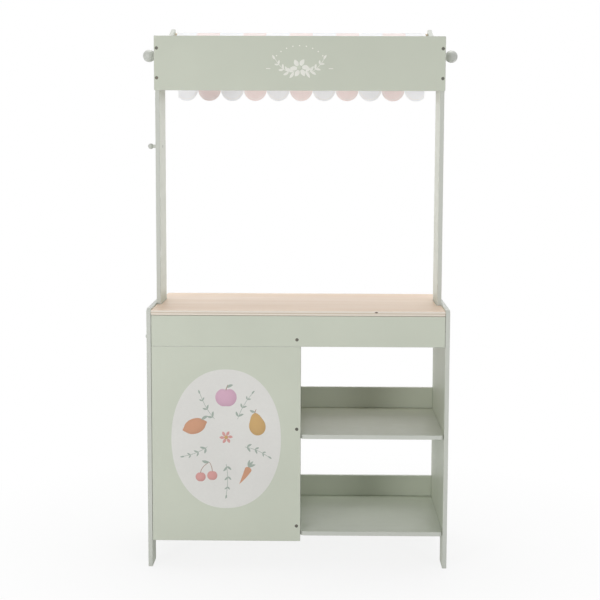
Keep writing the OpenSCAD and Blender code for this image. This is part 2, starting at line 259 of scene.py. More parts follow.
def rounded_outline(corners, radii, steps):
    """A closed outline whose corners are arcs, and its outward normals.

    Each corner is cut back along both sides by its radius times the tangent of half its turn.
    Between the cuts the normal turns evenly from one side's to the next side's, and each point
    lies one radius from the arc's centre along it, on the far side at an inward corner.
    The corners run anticlockwise.
    """
    corners = np.array(corners, float)
    radii = np.array(radii, float)[:, None]
    into = unit(corners - np.roll(corners, 1, axis=0))
    out = np.roll(into, -1, axis=0)
    turn = np.arctan2(into[:, 0] * out[:, 1] - into[:, 1] * out[:, 0], (into * out).sum(1))[:, None]
    first = np.stack([into[:, 1], -into[:, 0]], axis=1)
    reach = radii * np.sign(turn)
    centres = corners - into * radii * np.tan(np.abs(turn) / 2) - first * reach
    normals = ray(np.arctan2(first[:, 1:], first[:, :1]) + turn * np.linspace(0, 1, steps + 1))
    points = centres[:, None] + normals * reach[:, None]
    return points.reshape(-1, 2), normals.reshape(-1, 2)


def ring_quads(rows, columns, closed=True):
    """Faces of a grid of rows by columns, whose columns run round and meet when it is closed."""
    row, column = np.mgrid[: rows - 1, : columns if closed else columns - 1]
    here = row * columns + column
    beside = row * columns + (column + 1) % columns
    return np.stack([here, beside, beside + columns, here + columns], axis=2).reshape(-1, 4)


def placed(flat, level, axis):
    """Points whose two flat coordinates follow the axis in the order X, Y, Z, X, Y."""
    points = np.empty(flat.shape[:-1] + (3,))
    points[..., (axis + 1) % 3] = flat[..., 0]
    points[..., (axis + 2) % 3] = flat[..., 1]
    points[..., axis] = level
    return points


class Faces:
    """Points, faces, corner normals and point values of one mesh, gathered piece by piece."""

    def __init__(self):
        self.points, self.faces, self.normals = [], [], []
        self.values = {}
        self.count = 0

    def add_points(self, points, **values):
        """Adds points with their values or colours, and returns the first one's index."""
        points = np.reshape(points, (-1, 3))
        first = self.count
        self.points.append(points)
        for name, value in values.items():
            width = 4 if np.ndim(value) and np.shape(value)[-1] == 4 else 1
            filled = np.broadcast_to(np.reshape(value, (-1, width)), (len(points), width))
            self.values.setdefault(name, []).append(filled)
        self.count += len(points)
        return first

    def add_faces(self, faces, normals=None):
        """Adds faces with equally many corners, with one normal for all or one for each corner."""
        faces = np.asarray(faces)
        self.faces.extend(faces.tolist())
        if normals is not None:
            self.normals.append(np.broadcast_to(np.reshape(normals, (-1, 3)), (faces.size, 3)))

    def mesh(self, name, sharp=None):
        """The smooth mesh, with its own corner normals or with edges sharp from an angle in degrees."""
        mesh = bpy.data.meshes.new(name)
        mesh.from_pydata(np.concatenate(self.points), [], self.faces)
        mesh.shade_smooth()
        if self.normals:
            mesh.normals_split_custom_set(np.concatenate(self.normals))
        if sharp:
            mesh.set_sharp_from_angle(angle=math.radians(sharp))
        for value_name, filled in self.values.items():
            filled = np.concatenate(filled).astype(np.float32)
            kind, field = ("FLOAT_COLOR", "color") if filled.shape[1] == 4 else ("FLOAT", "value")
            attribute = mesh.attributes.new(value_name, kind, "POINT")
            attribute.data.foreach_set(field, filled.ravel())
        return mesh


POCKET_STEPS = 32
POCKET_DEPTH = 1.8 * MM
HEAD_RADIUS = 3.55 * MM
SHANK_RADIUS = 1.8 * MM
PLANE_SLACK = 0.02 * MM
EASE_STEPS = 4


def screw_heads(axis, level, low, high):
    """Places of the screw heads that lie flush in one face of a board.

    The screws' points in the face's plane are taken head by head: the first point that is left
    and all that lie within a head's width of it make one head, and its place is their box's middle.
    """
    flat_axes = [(axis + 1) % 3, (axis + 2) % 3]
    places = []
    for node in SCREW_NODES:
        mesh = frame["nodes"][node].data
        points = np.empty((len(mesh.vertices), 3), np.float32)
        mesh.vertices.foreach_get("co", points.ravel())
        points = points[np.abs(points[:, axis] - level) < PLANE_SLACK][:, flat_axes]
        inside = (points > low[flat_axes]) & (points < high[flat_axes])
        points = points[inside.all(axis=1)]
        while len(points):
            same = np.linalg.norm(points - points[0], axis=1) < 2 * HEAD_RADIUS
            places.append((points[same].min(0) + points[same].max(0)) / 2)
            points = points[~same]
    return places


def add_end(made, outline, first, low, high, axis, upward):
    """A board's flat face inside an outline, with a countersunk pocket round each screw head.

    Each pocket is a cone that narrows evenly from the head's radius to the shank's.
    """
    level = (high if upward > 0 else low)[axis]
    normal = placed(np.zeros(2), upward, axis)
    rays = rays_round(POCKET_STEPS)
    slope = POCKET_DEPTH / (HEAD_RADIUS - SHANK_RADIUS)
    wall = np.tile(unit(placed(-rays * slope, upward, axis)), (2, 1))
    quads = ring_quads(2, POCKET_STEPS)[:, ::-upward]
    loops, starts = [outline], [first]
    for place in screw_heads(axis, level, low, high):
        mouth = place + rays * HEAD_RADIUS
        floor = placed(place + rays * SHANK_RADIUS, level - upward * POCKET_DEPTH, axis)
        start = made.add_points([placed(mouth, level, axis), floor], rim=0.0, side=0.0)
        made.add_faces(quads + start, wall[quads.ravel()])
        made.add_faces([np.arange(POCKET_STEPS, 2 * POCKET_STEPS)[::upward] + start], normal)
        loops.append(mouth)
        starts.append(start)
    index = np.concatenate([np.arange(len(loop)) + start for loop, start in zip(loops, starts)])
    if len(loops) == 1:
        made.add_faces([index[::upward]], normal)
        return
    flat = np.concatenate(loops)
    triangles = np.array(tessellate_polygon([placed(loop, 0.0, 2).tolist() for loop in loops]))
    side = flat[triangles[:, 1:]] - flat[triangles[:, :1]]
    turned = side[:, 0, 0] * side[:, 1, 1] - side[:, 0, 1] * side[:, 1, 0]
    triangles = np.where((turned * upward < 0)[:, None], triangles[:, ::-1], triangles)
    made.add_faces(index[triangles], normal)


def board_mesh(name, outline, normals, low, high, axis, ease):
    """A board: a rounded profile carried round its outline, with a flat face at each end.

    The profile turns a quarter circle round each of its two edges. It lies inside the outline by
    the easing times one minus the sine of the turn, and its level is that of the edge's middle
    less the easing times the cosine.
    """
    turn = np.linspace(0, np.pi / 2, EASE_STEPS + 1)
    turn = np.concatenate([turn, turn + np.pi / 2])
    outward, along = np.sin(turn), -np.cos(turn)
    level = np.repeat([low[axis] + ease, high[axis] - ease], EASE_STEPS + 1) + ease * along
    inset = ease * (1 - outward)[:, None, None]
    rings = placed(outline - normals * inset, level[:, None], axis)
    ring_normals = placed(normals * outward[:, None, None], along[:, None], axis).reshape(-1, 3)
    count = len(outline)
    made = Faces()
    rim = np.abs(np.sin(2 * turn))
    made.add_points(rings, rim=np.repeat(rim, count), side=np.repeat(outward, count))
    quads = ring_quads(len(rings), count)
    made.add_faces(quads, ring_normals[quads.ravel()])
    for ring, upward in ((0, -1), (len(rings) - 1, 1)):
        add_end(made, outline - normals * ease, ring * count, low, high, axis, upward)
    return made.mesh(name)


def turned_mesh(name, radius, height, start, outward=1.0, steps=48):
    """A turned piece: a profile of radius over height carried round a line along X.

    Each point lies at the start, plus the height outwards, plus the radius times a direction that
    goes evenly round. The profile begins and ends on the line, where single points close it.
    """
    aside = radius[1:-1, None, None] * rays_round(steps) * (-outward, -1.0)
    rings = placed(start[1:] + aside, start[0] + outward * height[1:-1, None], 0)
    poles = placed(np.tile(start[1:], (2, 1)), start[0] + outward * height[[0, -1]], 0)
    made = Faces()
    made.add_points(rings, rim=0.0, side=0.0)
    pole = made.add_points(poles, rim=0.0, side=0.0)
    made.add_faces(ring_quads(len(rings), steps))
    here = np.arange(steps)
    after = np.roll(here, -1)
    last = (len(rings) - 1) * steps
    made.add_faces(np.stack([after, here, np.full(steps, pole)], axis=1))
    made.add_faces(np.stack([here + last, after + last, np.full(steps, pole + 1)], axis=1))
    return made.mesh(name, sharp=40)


def closed_sheet_mesh(name, points, thickness, along, hem):
    """A sheet with a thickness: a grid moved out by half of it along its normals, both ways.

    The normal is the cross product of the grid's steps along its rows and columns. Strips join
    the two faces round the edge. The first map holds the place across and along the cloth, and the
    second the place along the hem and the distance from it.
    """
    rows, columns = points.shape[:2]
    normals = unit(np.cross(np.gradient(points, axis=1), np.gradient(points, axis=0)))
    made = Faces()
    made.add_points([points + normals * thickness / 2, points - normals * thickness / 2])
    grid = ring_quads(rows, columns, closed=False)
    back = rows * columns
    index = np.arange(back).reshape(rows, columns)
    edge = np.concatenate([index[0, :-1], index[:-1, -1], index[-1, :0:-1], index[:0:-1, 0]])
    after = np.roll(edge, -1)
    made.add_faces(grid[:, ::-1])
    made.add_faces(grid + back)
    made.add_faces(np.stack([edge, after, after + back, edge + back], axis=1))
    mesh = made.mesh(name, sharp=50)
    corner = np.empty(len(mesh.loops), np.int32)
    mesh.loops.foreach_get("vertex_index", corner)
    for map_name, places in (("cloth", (points[..., 0], along)), ("hem", hem)):
        places = np.stack(places, axis=2).reshape(-1, 2)[corner % back]
        layer = mesh.uv_layers.new(name=map_name)
        layer.uv.foreach_set("vector", places.astype(np.float32).ravel())
    return mesh


# Nodes, and the groups that several finishes share


class Tree:
    """A node tree, with short ways to add a node and get what it puts out."""

    def __init__(self, tree):
        self.nodes = tree.nodes
        self.links = tree.links

    def feed(self, inputs, values):
        """Sets inputs to values, or links them to other nodes' outputs."""
        for name, value in values.items():
            if isinstance(value, bpy.types.NodeSocket):
                self.links.new(value, inputs[name])
            else:
                inputs[name].default_value = value

    def add(self, kind, inputs=None, **settings):
        """The outputs of a new shader node with these inputs and settings."""
        made = self.nodes.new("ShaderNode" + kind)
        for setting, value in settings.items():
            setattr(made, setting, value)
        self.feed(made.inputs, inputs or {})
        return made.outputs

    def math(self, operation, *values, clamp=False):
        """The output of one Math node."""
        return self.add("Math", dict(enumerate(values)), operation=operation, use_clamp=clamp)[0]

    def mapped(self, value, from_low, from_high, to_low=0.0, to_high=1.0):
        """A value carried from one range to another, held at the ends."""
        return self.add("MapRange", {0: value, 1: from_low, 2: from_high, 3: to_low, 4: to_high})[0]

    def spread(self, value, from_low, from_high, middle, below, above):
        """A value carried from one range to another round a middle."""
        low, high = self.math("SUBTRACT", middle, below), self.math("ADD", middle, above)
        return self.mapped(value, from_low, from_high, low, high)

    def mixed(self, amount, first, second, blend="MIX"):
        """Two colours mixed by an amount."""
        inputs = {0: amount, 6: first, 7: second}
        return self.add("Mix", inputs, data_type="RGBA", blend_type=blend)[2]

    def noise(self, place, scale, detail=2.0, roughness=0.5):
        """The value of a noise at a place."""
        inputs = {"Vector": place, "Scale": scale, "Detail": detail, "Roughness": roughness}
        return self.add("TexNoise", inputs)[0]

    def place(self):
        """Object coordinates."""
        return self.add("TexCoord")["Object"]

    def stretched(self, place, along, across):
        """A place scaled along its first axis and across it."""
        return self.add("Mapping", {"Vector": place, "Scale": (along, across, across)})[0]

    def parts(self, place):
        """The three parts of a place."""
        return self.add("SeparateXYZ", {0: place})

    def far(self, middle=(0.0, 0.0, 0.0), size=(1.0, 1.0, 1.0)):
        """How far Object coordinates are from a middle, counted in sizes along each axis."""
        way = self.add("VectorMath", {0: self.place(), 1: middle}, operation="SUBTRACT")[0]
        way = self.add("VectorMath", {0: way, 1: size}, operation="DIVIDE")[0]
        return self.add("VectorMath", {0: way}, operation="LENGTH")["Value"]

    def map_place(self, name):
        """The place in one of the mesh's maps."""
        return self.add("UVMap", uv_map=name)[0]

    def point_value(self, name):
        """A value that the mesh holds at its points."""
        return self.add("Attribute", attribute_name=name)["Fac"]

    def seen_directly(self):
        """One for rays from the camera and for those that gloss or glass sends on."""
        path = self.add("LightPath")
        seen = self.math("MAXIMUM", path["Is Camera Ray"], path["Is Glossy Ray"])
        return self.math("MAXIMUM", seen, path["Is Transmission Ray"])

    def show(self, output, amount, first, second):
        """Mixes two shaders by an amount, for an output node."""
        shader = self.add("MixShader", {0: amount, 1: first, 2: second})[0]
        self.links.new(shader, self.nodes[output].inputs[0])

    def effect(self, build, **values):
        """The outputs of a shared effect's group, which gets its own values here."""
        named = {name.capitalize(): value for name, value in values.items()}
        return self.add("Group", named, node_tree=shared_group(build))


def shared_group(build):
    """The node group of a shared effect, built the first time that it is asked for.

    The function's parameters and their defaults become the inputs, and what it returns the outputs.
    """
    group_name = build.__name__.replace("_", " ").capitalize()
    if group_name in bpy.data.node_groups:
        return bpy.data.node_groups[group_name]
    group = bpy.data.node_groups.new(group_name, "ShaderNodeTree")
    _, *parameters = inspect.signature(build).parameters.values()
    for parameter in parameters:
        kind = "NodeSocketColor" if parameter.default == WHITE else "NodeSocketFloat"
        name = parameter.name.capitalize()
        socket = group.interface.new_socket(name, in_out="INPUT", socket_type=kind)
        socket.default_value = parameter.default
    given = group.nodes.new("NodeGroupInput").outputs
    values = build(Tree(group), *[given[parameter.name.capitalize()] for parameter in parameters])
    for name, value in values.items():
        kind = "NodeSocketColor" if value.type == "RGBA" else "NodeSocketFloat"
        group.interface.new_socket(name, in_out="OUTPUT", socket_type=kind)
    put = group.nodes.new("NodeGroupOutput").inputs
    for name, value in values.items():
        group.links.new(value, put[name])
    return group


def paint_film(tree, colour=WHITE, clouding=0.03, gloss=0.45):
    """Sprayed paint: broad clouds in the colour, fine peel as height and uneven gloss."""
    place = tree.place()
    cloud = tree.spread(tree.noise(place, 6.0, 4.0, 0.55), 0.3, 0.7, 1.0, clouding, clouding)
    return {
        "Colour": tree.mixed(1.0, colour, cloud, "MULTIPLY"),
        "Roughness": tree.spread(tree.noise(place, 55.0, 3.0), 0.25, 0.75, gloss, 0.06, 0.06),
        "Height": tree.noise(place, 750.0, 2.0, 0.6),
    }


def board_edges(tree, colour=WHITE, edge=WHITE, rim=WHITE, wear=0.5):
    """Cut edges that soak up paint, and sanded rims lighter in patches, from paint worn thin and a
    painted highlight.
    """
    edged = tree.mixed(tree.point_value("side"), colour, edge)
    patches = tree.mapped(tree.noise(tree.place(), 90.0, 5.0, 0.65), 0.4, 0.62)
    # Painted highlight and wear: the rims lighten in noisy patches.
    worn = tree.math("MULTIPLY", tree.point_value("rim"), patches)
    worn = tree.math("MULTIPLY", worn, wear, clamp=True)
    return {"Colour": tree.mixed(worn, edged, rim)}


def wood_grain(tree, light=WHITE, dark=WHITE, contrast=0.6):
    """Pale wood whose grain runs along X: long streaks, fine fibres and short dark pores."""
    place = tree.place()
    streak = tree.noise(tree.stretched(place, 1.1, 17.0), 1.6, 5.0, 0.55)
    fibre = tree.noise(tree.stretched(place, 7.0, 260.0), 1.0, 3.0, 0.6)
    pores = tree.noise(tree.stretched(place, 26.0, 900.0), 1.0, 1.0)
    broad = tree.math("MULTIPLY", tree.mapped(streak, 0.34, 0.68), 0.65)
    fine = tree.mapped(fibre, 0.3, 0.7)
    both = tree.math("MULTIPLY_ADD", fine, 0.35, broad)
    base = tree.mixed(tree.math("MULTIPLY", both, contrast, clamp=True), light, dark)
    dots = tree.mapped(pores, 0.66, 0.74, 0.0, 0.35)
    return {
        "Colour": tree.mixed(dots, base, dark, "MULTIPLY"),
        "Roughness": tree.mapped(both, 0.0, 1.0, 0.42, 0.58),
        "Height": tree.math("SUBTRACT", fine, dots),
    }


def canvas_weave(tree, colour=WHITE, pitch=0.0007, depth=0.12):
    """Plain weave: warp and weft rise and fall in turn, with uneven threads. The colour darkens where the
    weave dips, as painted shade, and varies with the uneven threads.
    """
    cloth = tree.map_place("cloth")
    waves = []
    for part in tree.parts(cloth)[:2]:
        turns = tree.math("DIVIDE", part, pitch)
        waves.append(tree.math("SINE", tree.math("MULTIPLY", turns, math.pi)))
    warp = tree.noise(tree.stretched(cloth, 1400.0, 30.0), 1.0, 1.0)
    weft = tree.noise(tree.stretched(cloth, 30.0, 1400.0), 1.0, 1.0)
    slub = tree.math("ADD", warp, weft)
    height = tree.math("MULTIPLY_ADD", tree.math("MULTIPLY", *waves), 0.5, slub)
    # The colour follows the height: tone of the uneven threads, and painted shade where the weave dips.
    shade = tree.spread(height, 0.4, 1.6, 1.0, depth, tree.math("MULTIPLY", depth, 0.3))
    return {"Colour": tree.mixed(1.0, colour, shade, "MULTIPLY"), "Height": height}


def metal_skin(tree, colour=WHITE, dust=WHITE, gloss=0.35):
    """Plated metal: fine scratches in the gloss, and dust that dulls the colour in patches."""
    place = tree.place()
    dusty = tree.mapped(tree.noise(place, 420.0, 4.0, 0.6), 0.5, 0.75, 0.0, 0.5)
    scratch = tree.noise(tree.stretched(place, 300.0, 2400.0), 1.0, 2.0)
    return {
        "Colour": tree.mixed(dusty, colour, dust),
        "Roughness": tree.spread(scratch, 0.3, 0.7, gloss, 0.08, 0.12),
        "Height": scratch,
    }


# Finishes

PLY_COUNT = 5
KNOT_X = 159.7 * MM
KNOT_DROP = 2.5 * MM
KNOT_SIZE = (3.6 * MM, 9.0 * MM, 1.7 * MM)
STRIPE_BLEED = 1.5 * MM
HEM_ROW = 4.0 * MM
STITCH = 3.2 * MM
STITCH_SHARE = 0.7
THREAD_WIDTH = 0.5 * MM


class Finish(Tree):
    """A material's nodes and its shader."""

    def __init__(self, name):
        self.material = bpy.data.materials.new(name)
        self.material.use_nodes = True
        super().__init__(self.material.node_tree)
        self.shader = self.nodes["Principled BSDF"]

    def cover(self, colour, roughness, height, depth, strength=0.5, constants=None):
        """Gives the shader a colour, a roughness, a normal from a height of some depth, and constants."""
        normal = self.add("Bump", {"Height": height, "Distance": depth, "Strength": strength})[0]
        inputs = {"Base Color": colour, "Roughness": roughness, "Normal": normal}
        self.feed(self.shader.inputs, inputs | (constants or {}))


def sage_paint(finish, colours):
    """Satin sage paint on the boards, with soaked cut edges, and sanded rims lightened by thin paint and
    a painted highlight.
    """
    film = finish.effect(paint_film, colour=colours.sage, clouding=0.025, gloss=0.48)
    edge, rim = colours.sage_edge, colours.sage_rim
    edges = finish.effect(board_edges, colour=film["Colour"], edge=edge, rim=rim, wear=0.6)
    finish.cover(edges["Colour"], film["Roughness"], film["Height"], 0.03 * MM)


def counter_wood(finish, colours):
    """Plywood: grain on the faces, a dark middle ply between pale ones round the edge, and a knot. The
    upper rim gets a painted highlight and the lower rim painted shade.
    """
    low, high = span("counter_top")
    light, dark = colours.counter_light, colours.counter_dark
    grain = finish.effect(wood_grain, light=light, dark=dark, contrast=0.75)
    side = finish.point_value("side")
    half = PLY_COUNT / 2
    plies = finish.mapped(finish.parts(finish.place())[2], low[2], high[2], -half, half)
    middle = finish.mapped(finish.math("ABSOLUTE", plies), 0.35, 0.6, 0.9, 0.0)
    glue = finish.math("PINGPONG", finish.math("ADD", plies, half), 0.5)
    glue = finish.mapped(glue, 0.0, 0.12, 0.3, 0.0)
    layers = finish.math("MULTIPLY", finish.math("MAXIMUM", middle, glue), side)
    edged = finish.mixed(side, grain["Colour"], colours.counter_edge)
    edged = finish.mixed(layers, edged, colours.counter_ply)
    # Painted highlight on the upper rim and painted shade on the lower rim, mixed in across the easing.
    upper = finish.math("GREATER_THAN", plies, 0.0)
    rim = finish.mapped(finish.point_value("rim"), 0.5, 1.0, 0.0, 0.6)
    rim_colour = finish.mixed(upper, colours.counter_ply, colours.counter_rim)
    edged = finish.mixed(rim, edged, rim_colour)
    from_knot = finish.far((KNOT_X, low[1], high[2] - KNOT_DROP), KNOT_SIZE)
    knot = finish.mapped(from_knot, 0.6, 1.1, 0.95, 0.0)
    colour = finish.mixed(knot, edged, colours.knot)
    dull = {"Specular IOR Level": 0.2}
    finish.cover(colour, grain["Roughness"], grain["Height"], 0.05 * MM, 0.4, dull)


def beech(finish, colours):
    """Bare beech of the rods and dowels."""
    light, dark = colours.beech_light, colours.beech_dark
    grain = finish.effect(wood_grain, light=light, dark=dark, contrast=0.9)
    finish.cover(grain["Colour"], grain["Roughness"], grain["Height"], 0.06 * MM)


def ball_paint(finish, colours):
    """Satin paint on turned wood, with faint turning marks under it."""
    film = finish.effect(paint_film, colour=colours.ball, clouding=0.05, gloss=0.4)
    marks = finish.noise(finish.stretched(finish.place(), 1100.0, 40.0), 1.0, 1.0)
    height = finish.math("ADD", film["Height"], marks)
    finish.cover(film["Colour"], film["Roughness"], height, 0.04 * MM)


def stitch_mask(finish, along, off, row):
    """A row of stitches: dashes along a line at one distance, with a gap after each."""
    near = finish.math("ABSOLUTE", finish.math("SUBTRACT", off, row))
    line = finish.mapped(near, THREAD_WIDTH / 2, THREAD_WIDTH, 1.0, 0.0)
    beat = finish.math("FRACT", finish.math("DIVIDE", along, STITCH))
    return finish.math("MULTIPLY", line, finish.math("LESS_THAN", beat, STITCH_SHARE))


def awning_canvas(finish, colours, stripe_width, stripe_count, seams):
    """Striped cotton canvas with stitched seams and a stitched hem."""
    across, along, _ = finish.parts(finish.map_place("cloth"))
    stripe = finish.math("DIVIDE", across, 2 * stripe_width)
    stripe = finish.math("FRACT", finish.math("ADD", stripe, stripe_count / 4 + 1.0))
    bleed = STRIPE_BLEED / stripe_width
    pink = finish.mapped(stripe, 0.5 - bleed, 0.5 + bleed)
    striped = finish.mixed(pink, colours.cloth_white, colours.cloth_pink)
    weave = finish.effect(canvas_weave, colour=striped, pitch=0.8 * MM, depth=0.05)
    hem_along, hem_off, _ = finish.parts(finish.map_place("hem"))
    stitches = stitch_mask(finish, hem_along, hem_off, HEM_ROW)
    for seam in seams:
        stitches = finish.math("MAXIMUM", stitches, stitch_mask(finish, across, along, seam))
    colour = finish.mixed(stitches, weave["Colour"], colours.thread)
    height = finish.math("ADD", weave["Height"], finish.math("MULTIPLY", stitches, 2.0))
    thin = {
        "Subsurface Weight": 1.0,
        "Subsurface Radius": (1.0, 1.0, 1.0),
        "Subsurface Scale": 2.0 * MM,
    }
    finish.cover(colour, 0.9, height, 0.12 * MM, 0.6, thin)


def metal(finish, colour, dust, gloss, metallic):
    """Plated steel."""
    skin = finish.effect(metal_skin, colour=colour, dust=dust, gloss=gloss)
    plated = {"Metallic": metallic}
    finish.cover(skin["Colour"], skin["Roughness"], skin["Height"], 0.01 * MM, constants=plated)


def dark_screw(finish, colours):
    """Dark coated steel of the screws."""
    metal(finish, colours.screw, colours.bark, 0.42, 0.7)


def bright_steel(finish, colours):
    """Zinc plated steel of the studs and washers."""
    metal(finish, colours.steel, colours.screw, 0.28, 1.0)


def print_ink(finish, colours):
    """Flat printing ink in the colours that the mesh holds, with thin and full patches."""
    ink = finish.add("Attribute", attribute_name="ink")["Color"]
    film = finish.effect(paint_film, colour=ink, clouding=0.03, gloss=0.55)
    wash = finish.mapped(finish.noise(finish.place(), 160.0, 4.0, 0.6), 0.3, 0.75, 0.985, 1.015)
    washed = finish.mixed(1.0, film["Colour"], wash, "MULTIPLY")
    finish.cover(washed, film["Roughness"], film["Height"], 0.02 * MM)


FINISHES = {
    "sage_paint": ("Sage board paint", sage_paint),
    "counter_wood": ("Counter plywood", counter_wood),
    "beech": ("Bare beech", beech),
    "ball_paint": ("Ball paint", ball_paint),
    "awning_cloth": ("Striped canvas", awning_canvas),
    "dark_screw": ("Dark screws", dark_screw),
    "bright_steel": ("Bright steel", bright_steel),
    "ink": ("Printing ink", print_ink),
}


def linear(colour):
    """Display values turned into linear light, with an alpha of one."""
    colour = np.array(colour, float)
    light = np.where(colour <= 0.04045, colour / 12.92, ((colour + 0.055) / 1.055) ** 2.4)
    return (*light.tolist(), 1.0)


def palette(scene):
    """The stall's colours by name, in linear light."""
    colours = scene.stall_colours
    return SimpleNamespace(**{name: linear(getattr(colours, name)) for name in colours.__annotations__})


def finished(scene, look, *values):
    """The material of a look, made the first time that it is asked for."""
    name, make = FINISHES[look]
    if name not in bpy.data.materials:
        make(Finish(name), palette(scene), *values)
    return bpy.data.materials[name]


# Pieces on the frame

CORNER_SHARE = 1.6
CORNER_STEPS = 6
INNER_CORNER = 0.4 * MM


def add_piece(scene, mesh, slot, nodes=(), body=None, look=None):
    """A piece that moves with its body and stands for nodes of the frame.

    It has the look of its slot, unless another is given.
    """
    mesh.materials.append(finished(scene, look or slot))
    piece = bpy.data.objects.new(mesh.name, mesh)
    scene.collection.objects.link(piece)
    if nodes:
        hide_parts(*nodes)
        body = frame["nodes"][nodes[0]]["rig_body"]
    if body:
        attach(piece, body)
    return piece


def box_corners(low, high, axis):
    """The four corners of a box seen along an axis, anticlockwise."""
    a, b = (axis + 1) % 3, (axis + 2) % 3
    return [(low[a], low[b]), (high[a], low[b]), (high[a], high[b]), (low[a], high[b])]


def add_board(
    scene, node, axis, corners=None, steps=CORNER_STEPS, name=None, ease=None, slot="sage_paint"
):
    """A board in a node's place, painted unless another slot is given.

    A corner's third number is its radius, which otherwise follows from the easing. Without corners
    the board is a plain rectangle.
    """
    low, high = span(node)
    ease = ease or scene.stall_sizes.edge_ease
    corners = corners or box_corners(low, high, axis)
    radii = [corner[2] if len(corner) > 2 else CORNER_SHARE * ease for corner in corners]
    outline, normals = rounded_outline([corner[:2] for corner in corners], radii, steps)
    mesh = board_mesh(name or node + "_board", outline, normals, low, high, axis, ease)
    add_piece(scene, mesh, slot, [node])


class STALL_OT_stage(bpy.types.Operator):
    """Makes the floor, the even white surroundings, four softboxes and the camera"""

    bl_idname = "stall.stage"
    bl_label = "Stage"

    FLOOR_REACH = 9.0
    FLOOR_COLOUR = (0.9, 0.9, 0.9, 1.0)
    # Near the stall the floor is greyer by distance alone: painted shade round the real shadow.
    SHADOW_REACH = (0.3, 0.9)
    SHADOW_WHITENESS = (0.85, 1.0)
    SENSOR_WIDTH = 36.0
    SOFTBOXES = {
        "key": ((-1.7, -2.8, 0.8), 0.75),
        "fill": ((1.75, -2.75, 1.05), 0.8),
        "back": ((0.0, 1.3, 0.9), 1.2),
        "top": ((0.0, 0.55, 2.9), 1.6),
    }

    def execute(self, context):
        scene = context.scene
        stage = scene.stall_stage
        scene.view_settings.view_transform = "Standard"
        self.add_floor(scene)
        self.add_surroundings(scene, stage.ambient)
        for name, (place, size) in self.SOFTBOXES.items():
            power = getattr(stage, name + "_power")
            self.add_softbox(scene, name.capitalize() + " softbox", power, place, size)
        self.add_camera(scene, stage)
        return {"FINISHED"}

    def add_floor(self, scene):
        """A square floor. To the camera it is white far out, and near the stall its own lit grey shows
        through: the real soft shadow, and a painted grey ring set by distance alone.
        """
        corners = np.array([(-1.0, -1.0, 0.0), (1.0, -1.0, 0.0), (1.0, 1.0, 0.0), (-1.0, 1.0, 0.0)])
        mesh = bpy.data.meshes.new("floor")
        mesh.from_pydata(corners * self.FLOOR_REACH, [], [(0, 1, 2, 3)])
        look = Finish("Pale floor")
        plain = {"Base Color": self.FLOOR_COLOUR, "Roughness": 1.0, "Specular IOR Level": 0.0}
        look.feed(look.shader.inputs, plain)
        # Painted shade: less of the white shows towards the middle, so the floor greys there even where
        # it is fully lit.
        whiteness = look.mapped(look.far(), *self.SHADOW_REACH, *self.SHADOW_WHITENESS)
        seen = look.math("MULTIPLY", look.seen_directly(), whiteness)
        glow = look.add("Emission", {"Strength": 1.0})[0]
        look.show("Material Output", seen, look.shader.outputs[0], glow)
        mesh.materials.append(look.material)
        floor = bpy.data.objects.new("floor", mesh)
        scene.collection.objects.link(floor)
        floor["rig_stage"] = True

    def add_surroundings(self, scene, ambient):
        """White to the camera, and an even dimmer light to everything else."""
        scene.world = bpy.data.worlds.new("Even white")
        scene.world.use_nodes = True
        tree = Tree(scene.world.node_tree)
        dim = tree.nodes["Background"]
        tree.feed(dim.inputs, {"Color": WHITE, "Strength": ambient})
        white = tree.add("Background", {"Color": WHITE, "Strength": 1.0})[0]
        tree.show("World Output", tree.seen_directly(), dim.outputs[0], white)

    def add_softbox(self, scene, name, power, place, size):
        """A square light that faces the middle of the stall and isn't seen itself."""
        lamp = bpy.data.lights.new(name, "AREA")
        lamp.energy = power
        lamp.size = size
        softbox = bpy.data.objects.new(name, lamp)
        way = (cad_low + cad_high) / 2 - Vector(place)
        softbox.location = place
        softbox.rotation_euler = way.to_track_quat("-Z", "Y").to_euler()
        softbox.visible_camera = False
        scene.collection.objects.link(softbox)

    def add_camera(self, scene, stage):
        """A camera turned by its yaw, tilted by its pitch and then rolled."""
        camera = bpy.data.objects.new("Camera", bpy.data.cameras.new("Camera"))
        camera.data.sensor_width = self.SENSOR_WIDTH
        camera.data.lens = stage.lens
        level = Matrix.Rotation(stage.camera_yaw, 4, "Z") @ Matrix.Rotation(math.pi / 2, 4, "X")
        tilt = Matrix.Rotation(-stage.camera_pitch, 4, "X")
        roll = Matrix.Rotation(stage.camera_roll, 4, "Z")
        camera.matrix_world = Matrix.Translation(stage.camera_place) @ level @ tilt @ roll
        scene.collection.objects.link(camera)
        scene.camera = camera


class STALL_OT_side_panels(bpy.types.Operator):
    """Makes the two side panels, with rounded upper corners and a gap between the feet"""

    bl_idname = "stall.side_panels"
    bl_label = "Side panels"

    def execute(self, context):
        sizes = context.scene.stall_sizes
        gap, gap_corner, top_corner = sizes.foot_gap_height, sizes.foot_gap_corner, sizes.side_corner
        for node in ("left_side_panel", "right_side_panel"):
            (_, front, _), (_, back, top) = span(node)
            corners = [
                (front, 0.0),
                (front + sizes.foot_depth, 0.0),
                (front + sizes.foot_depth, gap, gap_corner),
                (back - sizes.foot_depth, gap, gap_corner),
                (back - sizes.foot_depth, 0.0),
                (back, 0.0),
                (back, top, top_corner),
                (front, top, top_corner),
            ]
            add_board(context.scene, node, 0, corners)
        return {"FINISHED"}


